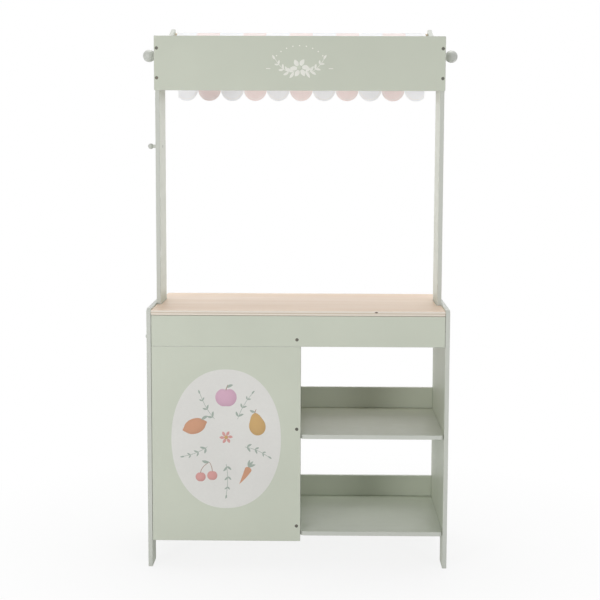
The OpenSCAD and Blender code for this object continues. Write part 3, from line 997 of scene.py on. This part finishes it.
class STALL_OT_counter(bpy.types.Operator):
    """Makes the plywood counter, notched round the posts"""

    bl_idname = "stall.counter"
    bl_label = "Counter"

    def execute(self, context):
        sizes = context.scene.stall_sizes
        (left, front, _), (right, back, _) = span("counter_top")
        (_, post_front, _), (post_inside, post_back, _) = span("left_post")
        notch_left = post_inside + sizes.seat_gap
        notch_front, notch_back = post_front - sizes.seat_gap, post_back + sizes.seat_gap
        corners = [
            (left, front),
            (right, front),
            (right, notch_front),
            (-notch_left, notch_front, INNER_CORNER),
            (-notch_left, notch_back, INNER_CORNER),
            (right, notch_back),
            (right, back),
            (left, back),
            (left, notch_back),
            (notch_left, notch_back, INNER_CORNER),
            (notch_left, notch_front, INNER_CORNER),
            (left, notch_front),
        ]
        look = {"name": "counter_board", "ease": sizes.counter_ease, "slot": "counter_wood"}
        add_board(context.scene, "counter_top", 2, corners, **look)
        return {"FINISHED"}


class STALL_OT_fronts(bpy.types.Operator):
    """Makes the two aprons and the menu panel"""

    bl_idname = "stall.fronts"
    bl_label = "Fronts"

    def execute(self, context):
        gap = context.scene.stall_sizes.front_gap
        apron, menu = (-gap, 0.0, -gap), (0.0, 0.0, 0.0)
        for node, reveal in (("front_apron", apron), ("menu_panel", menu), ("rear_apron", apron)):
            low, high = span(node)
            add_board(context.scene, node, 1, box_corners(low + (gap, 0.0, 0.0), high + reveal, 1))
        return {"FINISHED"}


class STALL_OT_shelves(bpy.types.Operator):
    """Makes the divider, the shelves on both sides of it and the rails of the open shelves"""

    bl_idname = "stall.shelves"
    bl_label = "Shelves"

    def execute(self, context):
        scene = context.scene
        self.add_divider(scene)
        for node in ("right_upper_shelf", "right_lower_shelf"):
            self.add_open_shelf(scene, node)
        for node in ("left_upper_shelf", "left_lower_shelf"):
            add_board(scene, node, 2)
        for node in ("upper_rail", "lower_rail"):
            add_board(scene, node, 1)
        return {"FINISHED"}

    def add_divider(self, scene):
        """The divider is cut out at the top for the rear apron."""
        (_, front, foot), (_, back, top) = span("divider_panel")
        _, apron_front, apron_foot = span("rear_apron")[0]
        corners = [
            (front, foot),
            (back, foot),
            (back, apron_foot),
            (apron_front, apron_foot, INNER_CORNER),
            (apron_front, top),
            (front, top),
        ]
        add_board(scene, "divider_panel", 0, corners)

    def add_open_shelf(self, scene, node):
        """An open shelf has round front corners and steps back behind the menu panel's free edge."""
        sizes = scene.stall_sizes
        (left, front, _), (right, back, _) = span(node)
        step_left, step_front, _ = span("menu_panel")[1] + sizes.seat_gap
        corners = [
            (step_left, front, sizes.shelf_corner),
            (right, front, sizes.shelf_corner),
            (right, back),
            (left, back),
            (left, step_front),
            (step_left, step_front, INNER_CORNER / 2),
        ]
        add_board(scene, node, 2, corners)


class STALL_OT_posts(bpy.types.Operator):
    """Makes the two posts and the header board"""

    bl_idname = "stall.posts"
    bl_label = "Posts and header"

    def execute(self, context):
        for node, axis in (("left_post", 0), ("right_post", 0), ("header_board", 1)):
            add_board(context.scene, node, axis)
        return {"FINISHED"}


class STALL_OT_awning_frame(bpy.types.Operator):
    """Makes the two round-ended arms and the two rods of the awning"""

    bl_idname = "stall.awning_frame"
    bl_label = "Awning frame"

    END_SHARE = 0.9999
    END_STEPS = 16
    ROD_BEVEL = 0.6 * MM

    def execute(self, context):
        along = unit((FRONT_ROD - PIVOT)[1:])
        across = np.array([-along[1], along[0]])
        for node in ("left_arm", "right_arm"):
            half = PIVOT[1] - span(node)[0][1]
            back, front = PIVOT[1:] - along * half, FRONT_ROD[1:] + along * half
            radius = half * self.END_SHARE
            places = ((back, -half), (front, -half), (front, half), (back, half))
            corners = [(*(end + across * aside), radius) for end, aside in places]
            add_board(context.scene, node, 0, corners, self.END_STEPS)
        for node, place in (("rear_rod", PIVOT), ("front_rod", FRONT_ROD)):
            self.add_rod(context.scene, node, place)
        return {"FINISHED"}

    def add_rod(self, scene, node, place):
        """A rod's radius is constant, but for a small bevel at each end."""
        low, high = span(node)
        bevel = self.ROD_BEVEL
        reach, _, width = high - low
        full = width / 2
        radius = np.array([0.0, full - bevel, full, full, full - bevel, 0.0])
        height = np.array([0.0, 0.0, bevel, reach - bevel, reach, reach])
        mesh = turned_mesh(node + "_turned", radius, height, np.array([low[0], *place[1:]]))
        add_piece(scene, mesh, "beech", [node])


class STALL_OT_awning_cloth(bpy.types.Operator):
    """Makes the awning's cloth in one piece, from the rear rod over the front rod to the scallops"""

    bl_idname = "stall.awning_cloth"
    bl_label = "Awning cloth"

    SEAM_REACH = 22.0 * MM
    SEAM_INSET = 3.0 * MM
    SEAM_LAP = 1.3
    ROD_EASE = 0.45 * MM
    WAVE_SHIFT = 0.7
    WAVE_BEAT = 2.3
    LIP_SHARE = 0.5
    TUNNEL_DROP = 26.0 * MM
    TUNNEL_THICKNESS = 0.3 * MM
    TUNNEL_EASE = 0.08 * MM
    TUNNEL_LAP = 1.2
    EDGE_SLACK = 0.2 * MM
    LEAST_DROP = 0.001 * MM
    ROWS = (6, 30, 44, 20, 40)
    TUNNEL_ROWS = (8, 30, 8)
    SCALLOP_STEPS = 16

    def execute(self, context):
        scene = context.scene
        sizes = scene.stall_sizes
        valance_low, valance_high = span("valance_cloth")
        half_width = valance_high[0]
        stripe = (2 * half_width + 2 * sizes.stripe_trim) / sizes.stripe_count
        x, off_centre = self.columns(half_width, stripe, sizes.stripe_count)
        depth = np.sqrt(np.maximum((stripe / 2) ** 2 - off_centre**2, 0.0))
        scallop_top = valance_low[2] + stripe / 2
        points = self.surface(sizes, x, depth, scallop_top, stripe, valance_high[1])
        steps = np.linalg.norm(np.diff(points, axis=0), axis=2)
        along = np.concatenate([np.zeros((1, len(x))), np.cumsum(steps, axis=0)])
        below = np.maximum(scallop_top - points[..., 2], 0.0)
        on_flap = (points[..., 2] < scallop_top) & (points[..., 1] > FRONT_ROD[1])
        from_hem = np.where(on_flap, stripe / 2 - np.hypot(off_centre, below), stripe)
        hem_along = np.arctan2(off_centre, below + self.LEAST_DROP) * stripe / 2
        hem = (hem_along, from_hem)
        mesh = closed_sheet_mesh("awning_cloth", points, sizes.cloth_thickness, along, hem)
        rear_seam = along[sum(self.ROWS[:2]), 0] + self.SEAM_REACH - self.SEAM_INSET
        front_seam = along[sum(self.ROWS[:4]), 0] + self.TUNNEL_DROP
        finished(scene, "awning_cloth", stripe, sizes.stripe_count, (rear_seam, front_seam))
        cloth = add_piece(scene, mesh, "awning_cloth")
        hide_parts("canopy_cloth", "valance_cloth")
        radius = PIVOT[1] - span("canopy_cloth")[0][1]
        tilt = math.atan2(*(FRONT_ROD - PIVOT)[[2, 1]])
        top = FRONT_ROD + radius * np.array([0.0, -math.sin(tilt), math.cos(tilt)])
        side = FRONT_ROD + radius * np.array([0.0, 1.0, 0.0])
        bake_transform(cloth)
        tunnel = self.add_tunnel(scene, x)
        return {"FINISHED"}

    def columns(self, half_width, stripe, count):
        """Places across the cloth, and how far each is from the middle of its own stripe.

        Within a stripe they go as the sine of an even turn, so they are close together at its edges.
        """
        turn = np.linspace(-np.pi / 2, np.pi / 2, self.SCALLOP_STEPS, endpoint=False)
        outer = (count - 1) / 2
        middle = (np.arange(count) - outer) * stripe
        x = (middle[:, None] + np.sin(turn) * stripe / 2).ravel()
        x = x[np.abs(x) < half_width - self.EDGE_SLACK]
        x = np.concatenate([[-half_width], x, [half_width]])
        return x, x - np.clip(np.round(x / stripe), -outer, outer) * stripe

    def loop_end(self, seam, radius):
        """Angle at which a straight line from a seam meets a loop round the origin."""
        return math.atan2(seam[1], seam[0]) - math.acos(radius / np.linalg.norm(seam))

    def surface(self, sizes, x, depth, scallop_top, stripe, flap_face):
        """The cloth's middle surface, row by row along its length.

        It starts under the canopy, runs straight to the rear rod's loop, round the loop, along the
        arms with a parabola's sag, round the front rod on a spiral that opens, and then down.
        The flap ends in half circles, and it leaves the flat by a sine wave that grows downwards.
        """
        thick = sizes.cloth_thickness
        arm = (FRONT_ROD - PIVOT)[1:]
        arm_length = np.linalg.norm(arm)
        tilt = math.atan2(arm[1], arm[0])
        loop = PIVOT[1] - span("canopy_cloth")[0][1] - thick / 2
        flap = flap_face - FRONT_ROD[1] + thick / 2
        wrap = span("front_rod")[1][2] - FRONT_ROD[2] + self.ROD_EASE + thick / 2
        rows = [np.linspace(0, 1, count, endpoint=False) for count in self.ROWS[:-1]]
        fall = np.linspace(0, 1, self.ROWS[-1])[:, None]
        sag_at_seam = 4 * sizes.cloth_sag * self.SEAM_REACH / arm_length
        seam = np.array([self.SEAM_REACH, loop - sag_at_seam - self.SEAM_LAP * thick])
        meet = self.loop_end(seam, loop)
        under = seam + rows[0][:, None] * (loop * ray(meet) - seam)
        round_rear = loop * ray(meet + rows[1] * (-1.5 * np.pi - meet))
        sag = 4 * sizes.cloth_sag * rows[2] * (1 - rows[2])
        canopy = np.stack([rows[2] * arm_length, loop + (wrap - loop) * rows[2] - sag], axis=1)
        local = np.concatenate([under, round_rear, canopy])
        turned = PIVOT[1:] + local @ np.array([ray(tilt), ray(tilt + np.pi / 2)])
        spiral = wrap + (flap - wrap) * rows[3] ** 2
        rounding = FRONT_ROD[1:] + spiral[:, None] * ray((np.pi / 2 + tilt) * (1 - rows[3]))
        section = np.concatenate([turned, rounding])
        full_drop = FRONT_ROD[2] - scallop_top
        drop = fall * (full_drop + depth)
        wave = np.sin(np.pi * x / stripe + self.WAVE_SHIFT) * np.cos(self.WAVE_BEAT * x / stripe)
        hang = fall**2 * wave
        lip = self.LIP_SHARE * np.clip((drop - full_drop) / (stripe / 2), 0, 1) ** 2
        flap_y = FRONT_ROD[1] + flap + sizes.cloth_wave * (hang + lip)
        y = np.concatenate([section[:, :1] + 0 * x, flap_y])
        z = np.concatenate([section[:, 1:] + 0 * x, FRONT_ROD[2] - drop])
        return np.stack([np.broadcast_to(x, y.shape), y, z], axis=2)

    def add_tunnel(self, scene, x):
        """A strip sewn inside the valance holds the front rod: a loop with its ends at the seam.

        Its section goes up the flap's inner face, round the rod and straight back to the seam.
        """
        thick = self.TUNNEL_THICKNESS
        radius = span("front_rod")[1][2] - FRONT_ROD[2] + self.TUNNEL_EASE + thick / 2
        up, turn, down = self.TUNNEL_ROWS
        low = -self.TUNNEL_DROP
        seam = np.array([radius - self.TUNNEL_LAP * thick, low])
        leave = self.loop_end(seam, radius) + 2 * np.pi
        touch = radius * ray(leave)
        rising = np.stack([np.full(up, radius), np.linspace(low, 0, up, endpoint=False)], axis=1)
        rounding = radius * ray(np.linspace(0, leave, turn, endpoint=False))
        falling = touch + np.linspace(0, 1, down)[:, None] * (seam - touch)
        section = np.concatenate([rising, rounding, falling])
        y, z = (FRONT_ROD[1:] + section).T[..., None] + 0 * x
        points = np.stack([np.broadcast_to(x, y.shape), y, z], axis=2)[::-1]
        girth = np.linalg.norm(np.diff(section, axis=0), axis=1).sum()
        along = np.linspace(0, girth, len(section))[:, None] + 0 * x
        far = np.ones(y.shape)
        mesh = closed_sheet_mesh("front_rod_tunnel", points, thick, along, (far, far))
        tunnel = add_piece(scene, mesh, "awning_cloth", body="valance")
        flat = (float(np.ptp(x)), float(girth))
        return tunnel


class STALL_OT_knobs(bpy.types.Operator):
    """Makes the two clamp knobs and the two hanging pegs, turned and painted"""

    bl_idname = "stall.knobs"
    bl_label = "Knobs and pegs"

    STEMS = {
        "left_knob": 7.5 * MM,
        "right_knob": 7.5 * MM,
        "post_peg": 3.5 * MM,
        "side_peg": 3.5 * MM,
    }
    DIMPLE_RADIUS = (0.0, 0.04, 0.11)
    DIMPLE_HEIGHT = (0.972, 0.975, 0.9925)
    NECK_SOFTNESS = 0.12
    ROOT_BEVEL = 0.5 * MM
    FRONT_RINGS = 20
    BACK_RINGS = 40
    STEPS_ROUND = 64

    def execute(self, context):
        for node, stem in self.STEMS.items():
            self.add_ball(context.scene, node, stem)
        return {"FINISHED"}

    def add_ball(self, scene, node, stem):
        """A ball on a stem: the radius is the soft maximum of the stem's and the ball's.

        The ball's is the square root of its radius squared less the distance from its middle squared.
        The soft maximum adds half the root of their difference squared plus a small square.
        """
        low, high = span(node)
        outward, base = (-1.0, high[0]) if low[0] < 0 else (1.0, low[0])
        ball = (high[2] - low[2]) / 2
        middle = high[0] - low[0] - ball
        # The dimple stands in for the first two rings of the front
        turn = np.linspace(0, np.pi / 2, self.FRONT_RINGS)[2:]
        back = np.linspace(middle, self.ROOT_BEVEL, self.BACK_RINGS)[1:]
        inside = np.sqrt(np.maximum(ball**2 - (back - middle) ** 2, 0.0))
        soft = self.NECK_SOFTNESS * ball
        neck = (inside + stem + np.sqrt((inside - stem) ** 2 + soft**2)) / 2
        front_radius = ball * np.concatenate([self.DIMPLE_RADIUS, np.sin(turn)])
        front = middle + ball * np.concatenate([self.DIMPLE_HEIGHT, np.cos(turn)])
        root = stem - self.ROOT_BEVEL
        radius = np.concatenate([front_radius, np.minimum(neck, ball), [root, 0.0]])
        height = np.concatenate([front, back, [0.0, 0.0]])
        start = np.array([base, PIVOT[1], (low[2] + high[2]) / 2])
        profile = (radius[::-1], height[::-1])
        mesh = turned_mesh(node + "_turned", *profile, start, outward, self.STEPS_ROUND)
        add_piece(scene, mesh, "ball_paint", [node])


class STALL_OT_fasteners(bpy.types.Operator):
    """Gives the screws, dowels, studs and washers of the frame their finishes"""

    bl_idname = "stall.fasteners"
    bl_label = "Fasteners"

    def execute(self, context):
        looks = {node: "dark_screw" for node in SCREW_NODES}
        looks.update(pivot_studs="bright_steel", pivot_washers="bright_steel", shelf_dowels="beech")
        for node, look in looks.items():
            for slot in frame["nodes"][node].material_slots:
                slot.material = finished(context.scene, look)
        return {"FINISHED"}


def bell(angle, width):
    """A bell curve: it falls from one as the exponential of less the square of angle over width."""
    return np.exp(-((angle / width) ** 2))


def curve(start, bend, end, count=14):
    """Points on a parabola that starts towards its bend and ends coming from it."""
    t = np.linspace(0, 1, count)[:, None]
    return (1 - t) ** 2 * start + 2 * t * (1 - t) * bend + t**2 * end


class Print(Faces):
    """A flat print on a board that faces the serving side, made of thin closed films of ink.

    Places are across and up from the print's middle. Films that cross lie at levels of their own.
    """

    SINK = 0.02 * MM
    LEVEL = 0.05 * MM
    THINNEST = 0.1 * MM
    STEM_WIDTH = 1.1 * MM
    RING_SHARES = (1.0, 1.0, 0.94, 0.7, 0.4, 0.15)
    RING_LIFTS = (0.0, 0.6, 1.0, 1.0, 1.0, 1.0)
    LIGHT_WAY = (-0.5, 0.6)
    EVEN_TONE = 0.45
    STROKE_SHARES = (1.0, 0.8, -0.8, -1.0)

    def __init__(self, centre, face):
        super().__init__()
        self.centre = np.array([centre[0], face, centre[1]])

    def film(self, flat, height, ink):
        """A closed film of rings of points at heights in front of the board, with a face at each end."""
        rows, columns = flat.shape[:2]
        height = np.broadcast_to(height, (rows, columns))
        points = self.centre + np.stack([flat[..., 0], -height, flat[..., 1]], axis=-1)
        first = self.add_points(points, ink=ink)
        end = np.arange(columns) + first
        self.add_faces(ring_quads(rows, columns) + first)
        self.add_faces([end[::-1], end + (rows - 1) * columns])

    def patch(self, outline, colour, level, shade=0.12):
        """A film inside a closed outline: rings that shrink evenly towards the outline's middle.

        The ink is lighter towards the upper left and darker towards the rim.
        """
        share = np.array(self.RING_SHARES)[:, None]
        lift = level * self.LEVEL * np.array(self.RING_LIFTS)[:, None]
        lift[0] = -self.SINK
        middle = outline.mean(0)
        way = share[..., None] * (outline - middle)
        lit = way / np.abs(outline - middle).max() @ np.array(self.LIGHT_WAY)
        tone = 1 + shade * (lit - share**3 + self.EVEN_TONE)
        ink = tone[..., None] * np.array(colour)
        ink[..., 3] = 1.0
        self.film(middle + way, lift, ink)

    def stroke(self, path, width, colour, level):
        """A film along a path: it reaches half its width to both sides, square to the path."""
        step = unit(np.gradient(path, axis=0))
        half = np.broadcast_to(np.maximum(width, self.THINNEST) / 2, len(path))
        aside = np.stack([-step[:, 1], step[:, 0]], axis=1) * half[:, None]
        section = aside[:, None] * np.array(self.STROKE_SHARES)[:, None]
        top = level * self.LEVEL
        self.film(path[:, None] + section, [-self.SINK, top, top, -self.SINK], colour)

    def blob(self, place, size, colour, level, dip=0.0, neck=0.0, tip=0.0, turn=0.0):
        """A round fruit: an ellipse whose radius changes near its top and at its ends.

        A dip takes from the top and a little from the bottom, a neck adds to the top, and tips add
        to both ends across. Each fades as a bell curve of the angle.
        """
        angle = np.linspace(-np.pi, np.pi, 48, endpoint=False)
        radius = 1 - dip * bell(angle, 0.35) + neck * bell(angle, 0.55)
        radius -= 0.4 * dip * bell(np.abs(angle) - np.pi, 0.3)
        radius += tip * bell(np.abs(angle) - np.pi / 2, 0.22)
        flat = size * radius[:, None] * ray(angle + np.pi / 2)
        self.patch(place + flat @ np.array([ray(turn), ray(turn + np.pi / 2)]), colour, level)

    def leaf(self, root, reach, colour, level, fat=0.42):
        """A leaf: a stroke whose width swells as a half sine between its root and its tip."""
        side = np.array([-reach[1], reach[0]]) * 0.15
        path = curve(root, root + reach / 2 + side, root + reach)
        swell = np.sin(np.pi * np.linspace(0.02, 0.98, len(path))) ** 0.8
        self.stroke(path, fat * np.linalg.norm(reach) * swell, colour, level)

    def stem(self, start, bend, end, width, colour, level):
        """A stem that thins evenly towards its end."""
        path = curve(start, bend, end)
        self.stroke(path, width * np.linspace(1.0, 0.6, len(path)), colour, level)

    def sprig(self, start, bend, end, pairs, leaf_length, colour, level):
        """A stem with pairs of leaves that lean forward and shorten towards the tip, and one there."""
        path = curve(start, bend, end, 4 * pairs + 1)
        self.stroke(path, self.STEM_WIDTH, colour, level)
        ahead = unit(np.gradient(path, axis=0))
        for pair in range(1, pairs + 1):
            at = 4 * pair - 3
            reach = leaf_length * (1.05 - 0.45 * pair / pairs)
            for side in (-1.0, 1.0):
                aside = side * np.array([-ahead[at, 1], ahead[at, 0]])
                above = level + 0.4 + 0.2 * side
                self.leaf(path[at], (0.72 * ahead[at] + 0.7 * aside) * reach, colour, above)
        self.leaf(path[-1], ahead[-1] * leaf_length * 0.7, colour, level + 0.4)

    def flower(self, place, size, petal, heart):
        """Six petals round a heart."""
        for sixth in range(6):
            way = ray(sixth * np.pi / 3)
            self.leaf(place + way * size * 0.25, way * size, petal, 2 + 0.2 * sixth, fat=0.62)
        self.blob(place, size * 0.34, heart, 4)


class STALL_OT_prints(bpy.types.Operator):
    """Prints an oval with a ring of fruit on the menu panel and a garland on the header board"""

    bl_idname = "stall.prints"
    bl_label = "Prints"

    OVAL_POWER = 2 / 2.15
    RING_SHARE = 0.60
    SPRIG_SHARES = (0.36, 0.80)
    GARLAND_SHARES = ((0.07, -0.22), (0.22, -0.30), (0.36, 0.10), (0.435, -0.14), (0.5, -0.14))

    def execute(self, context):
        scene = context.scene
        sizes, colours = scene.stall_sizes, palette(scene)
        oval = Print(sizes.oval_centre, span("menu_panel")[0][1])
        self.draw_oval(oval, np.array(sizes.oval_size) / 2, colours)
        low, high = span("header_board")
        garland = Print((0.0, (low[2] + high[2]) / 2), low[1])
        self.draw_garland(garland, np.array(sizes.garland_size), colours)
        for name, made in (("menu_print", oval), ("header_print", garland)):
            add_piece(scene, made.mesh(name, sharp=30), "sage_paint", body="stall", look="ink")
        return {"FINISHED"}

    def draw_oval(self, made, half, colours):
        """A pale oval with five fruits in a ring round a flower, and sprigs between them.

        Its rim is an ellipse with the cosine and the sine raised to a power a little below one.
        """
        rays = rays_round(128)
        rim = half * np.sign(rays) * np.abs(rays) ** self.OVAL_POWER
        made.patch(rim, colours.oval, 1, shade=0.0)
        made.flower(mm(0, 4), 11 * MM, colours.rose, colours.ochre)
        spots = np.pi / 2 + np.arange(5) * 2 * np.pi / 5
        fruits = (self.apple, self.lemon, self.cherries, self.carrot, self.pear)
        for fruit, way in zip(fruits, ray(spots)):
            fruit(made, self.RING_SHARE * half * way, colours)
        for way in ray(spots + np.pi / 5):
            start, end = (half * way * share for share in self.SPRIG_SHARES)
            bend = (start + end) / 2 + np.array([-way[1], way[0]]) * 6 * MM
            made.sprig(start, bend, end, 3, 13 * MM, colours.leaf, 2)

    def apple(self, made, place, colours):
        """A mauve apple with a stem and a leaf."""
        top = place + mm(0, 15)
        made.blob(place, mm(22, 20), colours.mauve, 2, dip=0.2)
        made.stem(top, top + mm(1, 6), top + mm(4, 11), 1.8 * MM, colours.bark, 3)
        made.leaf(top + mm(1.5, 5), mm(13, 6), colours.leaf, 4)

    def pear(self, made, place, colours):
        """An ochre pear with a stem and a leaf."""
        top = place + mm(-5, 27)
        made.blob(place, mm(17, 19), colours.ochre, 2, neck=0.5, turn=0.2)
        made.stem(top, top + mm(0, 5), top + mm(3, 9), 1.7 * MM, colours.bark, 3)
        made.leaf(top + mm(0.5, 3), mm(-11, 4), colours.leaf, 4)

    def lemon(self, made, place, colours):
        """A clay-coloured lemon with a leaf."""
        made.blob(place, mm(23, 16), colours.clay, 2, tip=0.16, turn=0.35)
        made.leaf(place + mm(14, 13), mm(13, 8), colours.leaf, 3)

    def cherries(self, made, place, colours):
        """Two rose cherries on one stem."""
        knot = place + mm(5, 22)
        for level, way in ((2.0, mm(-13, -9)), (2.3, mm(11, -6))):
            fruit = place + way
            made.stem(fruit + mm(0, 8), fruit + mm(0, 20), knot, 1.5 * MM, colours.bark, level)
            made.blob(fruit, mm(10.5, 10), colours.rose, 3, dip=0.12)
        made.leaf(knot, mm(-15, 3), colours.leaf, 3)

    def carrot(self, made, place, colours):
        """A clay carrot that tapers from its crown, with three leaves."""
        crown = place + mm(8, 12)
        path = curve(crown, place + mm(1, -4), place + mm(-13, -24), 24)
        share = np.linspace(0, 1, len(path))
        width = 17 * MM * np.sqrt(np.minimum(share * 8, 1)) * (1 - share**1.6)
        made.stroke(path, width, colours.clay, 2)
        for above, way in enumerate((mm(2, 16), mm(9, 13), mm(14, 6))):
            made.leaf(crown - mm(1, 1), way, colours.leaf, 3 + 0.3 * above, fat=0.34)

    def draw_garland(self, made, size, colours):
        """Two mirrored sprigs under an arc of dots, with a dash at each end."""
        ink = colours.garland
        for side in (-1.0, 1.0):
            places = np.array(self.GARLAND_SHARES) * (side, 1.0) * size
            start, bend, end, dash_start, dash_end = places
            made.sprig(start, bend, end, 4, 0.20 * size[1], ink, 1)
            path = dash_start + np.linspace(0, 1, 6)[:, None] * (dash_end - dash_start)
            made.stroke(path, 1.8 * MM, ink, 1)
        made.flower(size * (0.0, -0.12), 0.20 * size[1], ink, colours.sage)
        for way in ray(np.radians(np.linspace(35, 145, 9))):
            made.blob(size * (way * (0.42, 0.62) - (0.0, 0.16)), 1.5 * MM, ink, 1)


class STALL_PT_panel(bpy.types.Panel):
    """Lists the stall's sizes, colours and pieces"""

    bl_idname = "STALL_PT_panel"
    bl_label = "Toy market stall"
    bl_space_type = "VIEW_3D"
    bl_region_type = "UI"
    bl_category = "Stall"

    def draw(self, context):
        for group_name, _ in GROUPS:
            group = getattr(context.scene, group_name)
            box = self.layout.box()
            for name in group.__annotations__:
                box.prop(group, name)
        column = self.layout.column()
        for operator in OPERATORS:
            column.operator(operator.bl_idname)


GROUPS = (("stall_sizes", StallSizes), ("stall_colours", StallColours), ("stall_stage", StallStage))
OPERATORS = (
    STALL_OT_stage,
    STALL_OT_side_panels,
    STALL_OT_counter,
    STALL_OT_fronts,
    STALL_OT_shelves,
    STALL_OT_posts,
    STALL_OT_awning_frame,
    STALL_OT_awning_cloth,
    STALL_OT_knobs,
    STALL_OT_fasteners,
    STALL_OT_prints,
)


def register():
    """Adds the properties to the scene, then the operators and the panel."""
    for name, group in GROUPS:
        bpy.utils.register_class(group)
        setattr(bpy.types.Scene, name, bpy.props.PointerProperty(type=group))
    for made in (*OPERATORS, STALL_PT_panel):
        bpy.utils.register_class(made)


def unregister():
    """Takes away what register adds, the other way round."""
    for made in (STALL_PT_panel, *reversed(OPERATORS)):
        bpy.utils.unregister_class(made)
    for name, group in reversed(GROUPS):
        delattr(bpy.types.Scene, name)
        bpy.utils.unregister_class(group)


def main():
    """Registers the add-on, makes the stage and every piece, and works out the two boxes."""
    register()
    bpy.ops.stall.stage()
    bpy.ops.stall.side_panels()
    bpy.ops.stall.counter()
    bpy.ops.stall.fronts()
    bpy.ops.stall.shelves()
    bpy.ops.stall.posts()
    bpy.ops.stall.awning_frame()
    bpy.ops.stall.awning_cloth()
    bpy.ops.stall.knobs()
    bpy.ops.stall.fasteners()
    bpy.ops.stall.prints()
    low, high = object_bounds()
    boxes = {"cad": [list(cad_low), list(cad_high)], "visual": [list(low), list(high)]}


if __name__ == "__main__":
    main()
